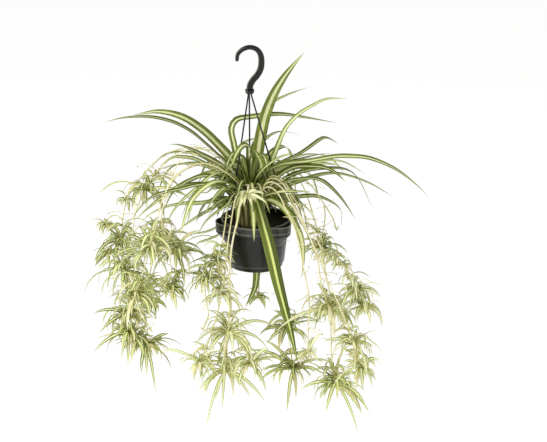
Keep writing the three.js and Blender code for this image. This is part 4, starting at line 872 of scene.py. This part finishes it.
# Each row has its azimuth on the crown, the points of its stems as above, and its tufts and its young
# plants, which sit at (stem, point). A young plant has its size, so many short leaves, and the tips of
# its long ones.
RUNNERS = [
    ("left_over", 192, [
        [(-22, 300, -10), (-46, 257, -22), (-82, 236, -46), (-116, 222, -60), (-154, 234, -68),
         (-176, 277, -72), (-186, 315, -72), (-195, 350, -72), (-188, 390, -69), (-163, 430, -66),
         (-166, 468, -62), (-174, 503, -60), (-222, 537, -56)],
    ], [(0, 5)], [
        ([(0, 9)], 55, 8, []),
        ([(0, 11)], 42, 7, [(-144, 535)]),
        ([(0, 12)], 30, 6, []),
    ]),
    ("left_column", 172, [
        [(-14, 298, 6), (-40, 246, 26), (-90, 212, 44), (-150, 214, 52), (-200, 250, 54), (-231, 296, 54),
         (-252, 345, 46), (-259, 395, 34), (-266, 432, 22), (-278, 469, 12), (-264, 515, 6), (-267, 562, 2),
         (-267, 601, 0), (-245, 620, 2), (-229, 632, 4)],
    ], [(0, 7), (0, 10)], [
        ([(0, 5)], 55, 9, []),
        ([(0, 9)], 68, 10, []),
        ([(0, 11)], 52, 9, [(-343, 560), (-329, 601)]),
        ([(0, 12), (0, 13), (0, 14)], 46, 5, [(-343, 643), (-180, 603), (-282, 652), (-189, 613), (-210, 731),
          (-229, 694), (-269, 673)]),
    ]),
    ("left_outer", 152, [
        [(-12, 298, 14), (-60, 240, 50), (-120, 205, 80), (-190, 222, 98), (-240, 268, 104), (-271, 317, 104),
         (-280, 360, 100), (-286, 409, 92), (-298, 425, 86), (-311, 432, 82)],
        [(-280, 360, 100), (-293, 350, 104), (-309, 354, 107), (-316, 371, 108)],
    ], [(0, 6)], [
        ([(0, 5)], 23, 6, []),
        ([(0, 7)], 55, 8, []),
        ([(0, 9)], 30, 6, [(-340, 460)]),
        ([(1, 3)], 28, 7, []),
    ]),
    ("left_inner", 207, [
        [(-18, 304, -24), (-60, 258, -66), (-110, 240, -98), (-160, 262, -118), (-190, 310, -128),
         (-206, 370, -130), (-220, 426, -128), (-238, 480, -122), (-250, 522, -116), (-236, 565, -112),
         (-218, 592, -110)],
    ], [(0, 10)], [
        ([(0, 6)], 64, 11, []),
        ([(0, 8)], 55, 9, []),
    ]),
    ("left_back", 132, [
        [(-10, 298, 20), (-50, 258, 70), (-100, 240, 112), (-160, 262, 140), (-190, 320, 152),
         (-205, 400, 156), (-222, 470, 154), (-232, 520, 152)],
    ], [], [
        ([(0, 5)], 55, 8, []),
        ([(0, 7)], 46, 7, []),
    ]),
    ("front_main", 250, [
        [(-14, 308, -36), (-20, 298, -60), (-26, 314, -84), (-33, 356, -100), (-42, 394, -106),
         (-47, 424, -108), (-51, 483, -109), (-50, 513, -110), (-48, 541, -110), (-52, 572, -110),
         (-54, 601, -110), (-58, 640, -110), (-61, 682, -110)],
        [(-54, 601, -110), (-33, 612, -116), (-15, 638, -120), (-7, 667, -122)],
    ], [(0, 7)], [
        ([(0, 10)], 60, 10, [(-97, 594), (22, 620), (-78, 673), (-14, 645)]),
        ([(0, 12)], 56, 7, [(27, 750), (-5, 741), (-103, 809), (-67, 767), (-82, 748), (-120, 728)]),
        ([(1, 3)], 45, 6, [(35, 633), (-37, 737), (16, 707)]),
    ]),
    ("front_side", 236, [
        [(-19, 312, -32), (-30, 300, -54), (-39, 318, -78), (-46, 356, -94), (-52, 394, -99),
         (-56, 424, -101), (-61, 470, -102), (-68, 520, -103), (-80, 570, -104), (-98, 625, -104),
         (-115, 667, -104)],
    ], [(0, 8)], [
        ([(0, 10)], 38, 7, [(-200, 639)]),
        ([(0, 7)], 38, 6, [(-114, 540)]),
    ]),
    ("front_left", 222, [
        [(-23, 314, -26), (-38, 302, -46), (-53, 326, -69), (-60, 370, -84), (-67, 410, -90), (-78, 449, -92),
         (-93, 466, -92), (-102, 487, -92), (-102, 522, -92), (-96, 562, -92), (-108, 594, -92)],
    ], [(0, 10)], [
        ([(0, 5)], 40, 7, []),
        ([(0, 7)], 45, 8, []),
    ]),
    ("front_short", 264, [
        [(-9, 306, -38), (-10, 287, -74), (-11, 288, -104), (-13, 306, -122)],
    ], [], [
        ([(0, 3)], 24, 4, [(-29, 317), (-29, 334), (7, 296), (24, 305), (29, 326), (-3, 332)]),
    ]),
    ("right_out", 340, [
        [(22, 288, -18), (40, 266, -40), (61, 274, -56), (84, 311, -70), (111, 351, -78), (122, 375, -81),
         (137, 405, -84), (151, 432, -86), (174, 441, -88), (190, 456, -88), (206, 482, -88), (220, 509, -88),
         (233, 545, -86)],
    ], [(0, 5)], [
        ([(0, 7), (0, 8), (0, 9)], 26, 4, []),
        ([(0, 11)], 42, 6, [(197, 481), (267, 522)]),
        ([(0, 12)], 44, 6, [(267, 549), (220, 575)]),
    ]),
    ("right_main", 326, [
        [(19, 292, -26), (40, 271, -56), (62, 282, -76), (82, 318, -90), (102, 355, -98), (116, 387, -102),
         (128, 420, -104), (138, 450, -105), (142, 483, -105), (150, 518, -105), (161, 552, -104),
         (165, 600, -104), (166, 648, -104), (170, 680, -104), (174, 709, -104)],
    ], [(0, 8), (0, 12)], [
        ([(0, 10)], 58, 12, []),
        ([(0, 14)], 58, 8, [(99, 722), (142, 741), (154, 771), (224, 816), (227, 767), (250, 773), (220, 718),
          (178, 667)]),
    ]),
    ("right_low", 312, [
        [(16, 297, -33), (38, 279, -70), (62, 294, -96), (84, 332, -112), (106, 370, -120), (124, 406, -125),
         (142, 450, -128), (161, 496, -129), (182, 540, -129), (200, 585, -128), (214, 626, -127),
         (224, 650, -126), (229, 675, -125)],
    ], [(0, 7), (0, 9)], [
        ([(0, 10)], 48, 8, [(220, 590), (256, 630), (148, 618)]),
        ([(0, 12)], 44, 6, [(262, 703), (233, 722), (193, 660)]),
    ]),
    ("right_inner", 298, [
        [(13, 303, -38), (34, 290, -80), (54, 306, -110), (70, 340, -126), (88, 380, -134), (100, 425, -138),
         (109, 475, -139), (118, 522, -139), (117, 580, -138), (115, 643, -136)],
    ], [(0, 7)], [
        ([(0, 9)], 32, 6, [(150, 599)]),
    ]),
    ("right_short", 15, [
        [(8, 298, 8), (38, 258, 32), (80, 252, 52), (120, 283, 62), (150, 325, 64), (170, 358, 62),
         (178, 383, 58)],
        [(150, 325, 64), (153, 350, 56), (148, 385, 50), (137, 411, 46)],
    ], [(0, 6), (1, 3)], [
    ]),
    ("right_back", 50, [
        [(4, 298, 20), (30, 258, 66), (65, 248, 106), (100, 278, 136), (125, 340, 152), (145, 420, 158),
         (160, 500, 156), (175, 560, 154)],
    ], [], [
        ([(0, 5)], 42, 7, []),
        ([(0, 7)], 50, 7, []),
    ]),
    ("back_low", 104, [
        [(-4, 296, 24), (-4, 276, 62), (0, 296, 98), (4, 360, 120), (8, 430, 124), (11, 490, 122),
         (11, 526, 120)],
    ], [], [
        ([(0, 6)], 28, 6, []),
    ]),
    ("back_side", 80, [
        [(6, 298, 26), (24, 274, 64), (42, 298, 98), (50, 360, 114), (52, 430, 116), (56, 496, 114),
         (66, 545, 110), (73, 594, 106), (80, 640, 102), (84, 682, 100)],
    ], [], [
        ([(0, 7)], 46, 6, [(15, 601), (27, 628), (97, 560)]),
        ([(0, 9)], 50, 6, [(14, 684), (-11, 640), (71, 775), (148, 688)]),
    ]),
]

# Dried stem: matt straw in patches of 33 mm, some of them still green, with brown specks of 2 mm
straw, tree, surface, where = shader("dry_runner_stem")
patch = noise(tree, where, 30, 4)
speck = noise(tree, where, 520, 2)
colour = mix(tree, ramp(tree, patch, 0.35, 0.65), "#f3efc4", "#e2d69c")
colour = mix(tree, ramp(tree, patch, 0.56, 0.7, 0, 0.7), colour, "#c6cd84")
colour = mix(tree, ramp(tree, speck, 0.6, 0.72, 0, 0.7), colour, "#7c5a38")
feed(tree, surface, {"Base Color": colour, "Roughness": 0.62, "Normal": relief(tree, speck, 0.3, 0.0002)})

# Dry seed husk: matt and mottled brown, in spots of a millimetre and a half
capsule, tree, surface, where = shader("dry_seed_capsule")
spot = noise(tree, where, 700, 3)
feed(tree, surface, {"Base Color": mix(tree, ramp(tree, spot, 0.35, 0.65), "#4a3420", "#9b7a4c"),
                     "Roughness": 0.8})


def knots_of(stems):
    """The places of the points of a runner's stems."""
    return [[place(*p) for p in stem] for stem in stems]


def stem_lines(azimuth, knots):
    """The smooth lines of a runner's stems; the first stem stands on the crown."""
    foot = around(azimuth, STEM["ring"], STEM["start"], CROWN[0]) + [0, CROWN[1], 0]
    lines = []
    for i, points in enumerate(knots):
        whole = np.array([foot, *points] if i == 0 else points)
        length = np.linalg.norm(np.diff(whole, axis=0), axis=1).sum()
        lines.append(smooth_line(whole, max(STEM["least_steps"], round(length / STEM["step"]))))
    return lines


def blade(root, knee, tip, width, turn, tone, steps=SMALL_FORM["steps"]):
    """A small leaf on a line that sets out towards its knee and bends over to its tip."""
    t = np.linspace(0, 1, steps + 1)
    back = 1 - t
    line = np.outer(back ** 2, root) + np.outer(2 * t * back, knee) + np.outer(t ** 2, tip)
    widening = np.sin(np.minimum(t / SMALL_FORM["widest"], 1) * math.pi / 2)
    narrowing = np.maximum(0, (t - SMALL_FORM["narrows"]) / (1 - SMALL_FORM["narrows"]))
    share = (SMALL_FORM["foot"] + (1 - SMALL_FORM["foot"]) * widening) * (
        1 - narrowing ** SMALL_FORM["narrowing"])
    side = crosswise(line, level(tip - root), turn + SMALL_FORM["sway"] * t * (tone - 0.5))
    half = np.maximum(SMALL_FORM["half"] * width * share, SMALL_FORM["least"])
    return {"points": line, "side": -side, "half": half, "tone": tone}


def bent(root, tip, lift):
    """The knee of a small leaf whose line rises above the straight way to its tip."""
    return (root + tip) / 2 + np.array([0, 0, lift * np.linalg.norm(tip - root)])


def blade_of_solid(is_corner, seed, propose):
    """The blade that the solid has for this seed, as a list, or none where none grew."""
    for attempt in range(ATTEMPTS):
        root, knee, tip, width, turn = propose(draws(seed * 20 + attempt))
        if is_corner(tip):
            return [blade(root, knee, tip, width, turn, draws(seed + 7)(0, 1))]
    return []


def tuft_blade(middle, k, draw):
    """One blade of a tuft of bracts."""
    azimuth = 2 * math.pi * (k + draw(0, 1)) / TUFT["blades"]
    reach = draw(*TUFT["reach"])
    tip = middle + reach * outwards(azimuth) + [0, 0, draw(*TUFT["rise"])]
    knee = bent(middle, tip, TUFT["lift"])
    return middle, knee, tip, draw(*TUFT["width"]), draw(-TUFT["turn"], TUFT["turn"])


def bract(root, draw):
    """A papery bract at a joint."""
    azimuth = draw(0, 2 * math.pi)
    reach = draw(*BRACT["reach"])
    tip = root + reach * outwards(azimuth, draw(*BRACT["rise"]))
    return blade(root, bent(root, tip, BRACT["lift"]), tip, draw(*BRACT["width"]) * BRACT["share"],
                 draw(-BRACT["turn"], BRACT["turn"]), draw(0, 1), BRACT["steps"])


def stalk(root, draw):
    """The dry stalk of a spent flower, of even width."""
    azimuth = draw(0, 2 * math.pi)
    reach = STALK["share"] * draw(*STALK["reach"])
    knee = root + reach * outwards(azimuth, draw(*STALK["rise"]))
    tip = knee + reach * outwards(azimuth + STALK["bend"], draw(*STALK["fall"]))
    line = blade(root, knee, tip, 1.0, 0.0, 0.5, STALK["steps"])
    line["half"] = np.full(len(line["points"]), STALK["half"])
    return line


def pod(middle):
    """A dry seed capsule."""
    bead = bmesh.new()
    bmesh.ops.create_icosphere(bead, subdivisions=1, radius=POD_RADIUS)
    bmesh.ops.translate(bead, verts=bead.verts, vec=Vector(middle) / 1000)
    shape = bpy.data.meshes.new("pod")
    bead.to_mesh(shape)
    bead.free()
    shape.materials.append(capsule)
    return shape


for seed, (name, azimuth, stems, tufts, _) in enumerate(RUNNERS, 1):
    knots = knots_of(stems)
    lines = stem_lines(azimuth, knots)
    girth = STEM["stouter"] if name == STEM["oldest"] else 1
    rods = []
    for line in lines:
        t = np.linspace(0, 1, len(line))
        from_joint = (t * len(line) / JOINT["each"]) % 1 - 0.5
        joint = 1 + JOINT["thicker"] * np.exp(-from_joint ** 2 / JOINT["spread"])
        rods.append({"points": line, "side": crosswise(line, level(line[-1] - line[0]), 0.0), "tone": 0.5,
                     "half": (STEM["root"] + (STEM["tip"] - STEM["root"]) * t) * joint * girth})
    is_corner = finder("runner_" + name)
    bracts = []
    for t, (stem, knot) in enumerate(tufts):
        for k in range(TUFT["blades"]):
            bracts += blade_of_solid(is_corner, seed * 1000 + 900 + t * 10 + k,
                                     lambda draw: tuft_blade(knots[stem][knot], k, draw))
    draw = draws(seed * 77 + 3)
    pods = []
    stalks = []
    for line in lines:
        first = JOINT["first"] + int(draw(*JOINT["later"]))
        for joint in line[first:-JOINT["clear"]:JOINT["each"]]:
            bracts += [bract(joint, draw) for _ in range(BRACT["each"])]
            for _ in range(0 if name.startswith("front") else STALK["each"]):
                stalks.append(stalk(joint, draw))
                if draw(0, 1) < STALK["with_pod"]:
                    pods.append(pod(stalks[-1]["points"][-1]))
    meshes = [swept("rods", rods, straw, STEM_SECTION), swept("bracts", bracts, straw, BRACT_SECTION)]
    if stalks:
        meshes.append(swept("stalks", stalks, straw, STALK_SECTION))
    own("stem_" + name, joined("stem_" + name, meshes + pods), "runner_" + name)

# Young plants: rosettes of pale yellow-green striped leaves at the joints and ends of the runners, in
# clumps where several grow together, each with a small firm base and a few stubby pale root tips. The
# leaves of the solids come first, then more of the same by rule; every seventh of those is dried out.
LONG = {"spread": 30, "lift": 0.3, "width": (5.4, 7), "turn": 0.4, "broader": 1.12, "sway": 0.8}
SHORT = {"low": -0.3, "high": 1.27, "arch": (1.4, 2.2), "reach": (0.8, 1.45), "width": (3, 4.2),
         "broader": 0.035, "turn": 0.5, "stray": 0.12}
MORE = {"least": 9, "for_size": 0.24, "reach": (0.9, 2.2), "arch": (1.1, 2.5), "width": (5.2, 7.4),
        "broader": 0.012, "low": -0.12, "high": 1.08, "turn": 0.6, "stray": 0.2, "steps": 12}
ARCS = {"from": 36, "each": 5, "reach": (1.8, 2.6), "rise": (0.2, 1.1), "arch": (0.9, 2.0)}
NO_ARCS = "front_left"
SATELLITES = {"from": 34, "back": (0.25, 0.6), "leaves": 8, "reach": (0.7, 1.7), "within": 30}
DRIED_EACH = 7
STEEPEST = 1.6
ROOTS = {"each": 4, "reach": 5, "down": (5, 9), "width": 1.9, "half": (0.9, 0.95, 0.9, 0.75, 0.35)}
YOUNG_SECTION = (6, 0.34, 0.1)
DRY_SECTION = (6, 0.5, 0.1)
ROOT_SECTION = (7, 0.0, 1.0)
HEART_SIDES = 12
HEART = [(0, -4.5), (2.4, -3.6), (3.6, -1), (3.4, 1.6), (2, 4.4), (0, 5.6)]
KEPT_WITHIN = np.array([(-368, -184, -850), (396, 248, 0)])
PALEST = ("front_main", "front_side", "front_short", "right_out", "right_main", "right_low", "right_inner")
PALE_ABOVE = -700
FORWARDS = np.array([0, 1, -0.36])

# Young leaves are more cream than green, and where the sun reaches them in front they bleach to yellow.
# Root tips are matt cream with spots of 2 mm, and brown at their ends.
young_leaf = striped_leaf("young_variegated_leaf", "#4a5812", "#a8b640", 0.5, "#fcfdc4", "#d2d87c", "#eeefb0")
pale_leaf = striped_leaf("pale_variegated_leaf", "#8a983e", "#dae07e", 0.56, "#ffffd6", "#eef0a8", "#f8f8c2")
root_tip, tree, surface, where = shader("aerial_root")
colour = mix(tree, ramp(tree, noise(tree, where, 600, 3), 0.35, 0.65), "#e6dfb6", "#c9b98a")
along = add(tree, "ShaderNodeAttribute", attribute_name="along").outputs["Fac"]
feed(tree, surface, {"Base Color": mix(tree, ramp(tree, along, 0.55, 1.0, 0, 0.8), colour, "#6b4c2c"),
                     "Roughness": 0.7})


def headed(azimuth, rise):
    """The direction of an azimuth and a rise above level."""
    return np.array([math.cos(rise) * math.cos(azimuth), math.cos(rise) * math.sin(azimuth), math.sin(rise)])


def over(middle, azimuth, rise, arch, reach):
    """The knee and the tip of a leaf that sets out at a rise and arches over."""
    knee = middle + 0.5 * reach * headed(azimuth, rise)
    return knee, knee + 0.5 * reach * headed(azimuth, max(rise - arch, -STEEPEST))


def long_blade(near, across, drop, draw):
    """A leaf to a tip that the photograph shows."""
    tip = place(across, drop, near[1] + draw(-LONG["spread"], LONG["spread"]))
    return near, bent(near, tip, LONG["lift"]), tip, draw(*LONG["width"]), draw(-LONG["turn"], LONG["turn"])


def faced(line):
    """A long leaf turned about its rib to show its face to the front, and a little broader."""
    across = np.cross(runs(line["points"]), FORWARDS)
    side = crosswise(line["points"], across, LONG["sway"] * (line["tone"] - 0.5))
    return {**line, "side": side, "half": line["half"] * LONG["broader"]}


def short_blade(middle, size, share, k, draw):
    """One of the short leaves of a rosette, at its share of the way from the lowest to the steepest."""
    azimuth = spiralled(k, SHORT["stray"], draw)
    rise = math.asin(SHORT["low"] + SHORT["high"] * share) + draw(-SHORT["stray"], SHORT["stray"])
    arch = draw(*SHORT["arch"])
    knee, tip = over(middle, azimuth, rise, arch, size * draw(*SHORT["reach"]))
    return (middle, knee, tip, draw(*SHORT["width"]) + SHORT["broader"] * size,
            draw(-SHORT["turn"], SHORT["turn"]))


def grown(middle, azimuth, rise, arch, reach, draw):
    """One more leaf, as a list, or none where it would reach too far out of the plant."""
    knee, tip = over(middle, azimuth, rise, arch, reach)
    more = blade(middle, knee, tip, draw(*MORE["width"]) + MORE["broader"] * reach,
                 draw(-MORE["turn"], MORE["turn"]), draw(0, 1), MORE["steps"])
    inside = (more["points"] > KEPT_WITHIN[0]).all() and (more["points"] < KEPT_WITHIN[1]).all()
    return [more] if inside else []


def rosette(middle, size, count, reaches, draw):
    """More leaves round one middle, from low ones that hang to steep ones that arch over."""
    leaves = []
    for k in range(count):
        azimuth = spiralled(k, MORE["stray"], draw)
        rise = math.asin(MORE["low"] + MORE["high"] * (k + 0.5) / count)
        rise += draw(-MORE["stray"], MORE["stray"])
        leaves += grown(middle, azimuth, rise, draw(*MORE["arch"]), size * draw(*reaches), draw)
    return leaves


def root_stub(middle, draw):
    """A stubby root tip under a young plant."""
    azimuth = draw(0, 2 * math.pi)
    tip = middle + ROOTS["reach"] * outwards(azimuth) - [0, 0, draw(*ROOTS["down"])]
    stub = blade(middle, (middle + tip) / 2, tip, ROOTS["width"], 0.0, 0.5, len(ROOTS["half"]) - 1)
    stub["half"] = np.array(ROOTS["half"])
    return stub


for seed, (name, _, stems, _, young) in enumerate(RUNNERS, 1):
    knots = knots_of(stems)
    for p, (spots, size, count, tips) in enumerate(young):
        label = f"{name}_{p + 1}"
        is_corner = finder("plantlet_" + label)
        middles = [knots[stem][knot] for stem, knot in spots]
        skin = pale_leaf if name in PALEST and middles[0][2] > PALE_ABOVE else young_leaf
        own_seed = seed * 1000 + p * 100
        blades = []
        for k, (across, drop) in enumerate(tips):
            near = min(middles, key=lambda m: abs(m[0] - across))
            found = blade_of_solid(is_corner, own_seed + k,
                                   lambda draw: long_blade(near, across, drop, draw))
            blades += [faced(line) for line in found]
        extra = []
        roots = []
        for m, middle in enumerate(middles):
            for k in range(count):
                blades += blade_of_solid(is_corner, own_seed + 20 + m * 25 + k,
                                         lambda draw: short_blade(middle, size, (k + 0.5) / count, k, draw))
            draw = draws(own_seed * 3 + m)
            further = MORE["least"] + round(MORE["for_size"] * size)
            extra += rosette(middle, size, further, MORE["reach"], draw)
            for k in range(ARCS["each"] if size >= ARCS["from"] and name != NO_ARCS else 0):
                heading = 2 * math.pi * (k + draw(0, 1)) / ARCS["each"]
                extra += grown(middle, heading, draw(*ARCS["rise"]), draw(*ARCS["arch"]),
                               size * draw(*ARCS["reach"]), draw)
            stem, knot = spots[m]
            before = knots[stem][knot - 1] - middle
            for back in SATELLITES["back"] if size >= SATELLITES["from"] else ():
                reach = min(SATELLITES["within"] / np.linalg.norm(before), 1)
                extra += rosette(middle + 2 * back * reach * before, size, SATELLITES["leaves"],
                                 SATELLITES["reach"], draw)
            roots += [root_stub(middle, draw) for _ in range(ROOTS["each"])]
        blades += [line for k, line in enumerate(extra) if k % DRIED_EACH]
        meshes = [swept("blades", blades, skin, YOUNG_SECTION),
                  swept("dry_blades", extra[::DRIED_EACH], straw, DRY_SECTION),
                  swept("roots", roots, root_tip, ROOT_SECTION)]
        for middle in middles:
            meshes.append(turned("heart", HEART, middle[:2], HEART_SIDES, skin))
            meshes[-1].transform(Matrix.Translation((0, 0, middle[2] / 1000)))
        own("young_" + label, joined("young_" + label, meshes), "plantlet_" + label)

# Floor: a plain white studio floor, far enough below to take no shadow, and clear when seen from
# underneath so that the pot's base can be looked at. In metres.
FLOOR_HEIGHT = -1.5
FLOOR_HALF = 40
FLOOR_GLOW = 0.55

floor_look, tree, surface, where = shader("white_studio_floor")
underneath = add(tree, "ShaderNodeNewGeometry").outputs["Backfacing"]
feed(tree, surface, {"Base Color": linear("#f3f3f3"), "Roughness": 1.0, "Specular IOR Level": 0.0,
                     "Emission Color": linear("#ffffff"), "Emission Strength": FLOOR_GLOW,
                     "Alpha": calc(tree, "SUBTRACT", 1.0, underneath)})
floor_mesh = bpy.data.meshes.new("floor")
corners = [(x * FLOOR_HALF, y * FLOOR_HALF, FLOOR_HEIGHT) for x, y in ((-1, -1), (1, -1), (1, 1), (-1, 1))]
floor_mesh.from_pydata(corners, [], [(0, 1, 2, 3)])
floor_mesh.materials.append(floor_look)
in_scene("floor", floor_mesh)

# Light: a bright even studio, with a large soft key from the upper left, a smaller light behind it for
# the edges and a fill from the right. Each row is a name, a place in metres, a size and a power.
LAMPS = (("key", (-1.7, -2.0, 1.4), 1.4, 50), ("rim", (-2.2, 0.4, 0.8), 0.8, 20),
         ("fill", (2.2, -1.8, 0.2), 2.0, 14))
LIT_MIDDLE = Vector((0, 0, -0.4))
SKY_STRENGTH = 0.44

world = bpy.data.worlds.new("studio")
world.use_nodes = True
feed(world.node_tree, world.node_tree.nodes["Background"], {"Color": linear("#fdfdfb"),
                                                            "Strength": SKY_STRENGTH})
bpy.context.scene.world = world
for name, spot, size, power in LAMPS:
    data = bpy.data.lights.new(name, "AREA")
    data.size = size
    data.energy = power
    lamp = in_scene(name, data)
    lamp.location = spot
    lamp.rotation_euler = (LIT_MIDDLE - Vector(spot)).to_track_quat("-Z", "Y").to_euler()
bpy.context.scene.view_settings.view_transform = "Standard"

# Camera: a long lens, far off, that looks down 20 degrees as the photograph does. The width of the
# view, the distance and the point looked at are in metres.
VIEW_WIDTH = 1.165
DISTANCE = 25.0
TARGET = Vector((0.0426, 0.0, -0.3852))
SENSOR = 36

camera_data = bpy.data.cameras.new("camera")
camera_data.sensor_width = SENSOR
camera_data.lens = SENSOR * DISTANCE / VIEW_WIDTH
camera = in_scene("camera", camera_data)
camera.location = TARGET + DISTANCE * Vector((0, -math.cos(VIEW_TILT), math.sin(VIEW_TILT)))
camera.rotation_euler = (math.radians(90) - VIEW_TILT, 0, 0)
bpy.context.scene.camera = camera
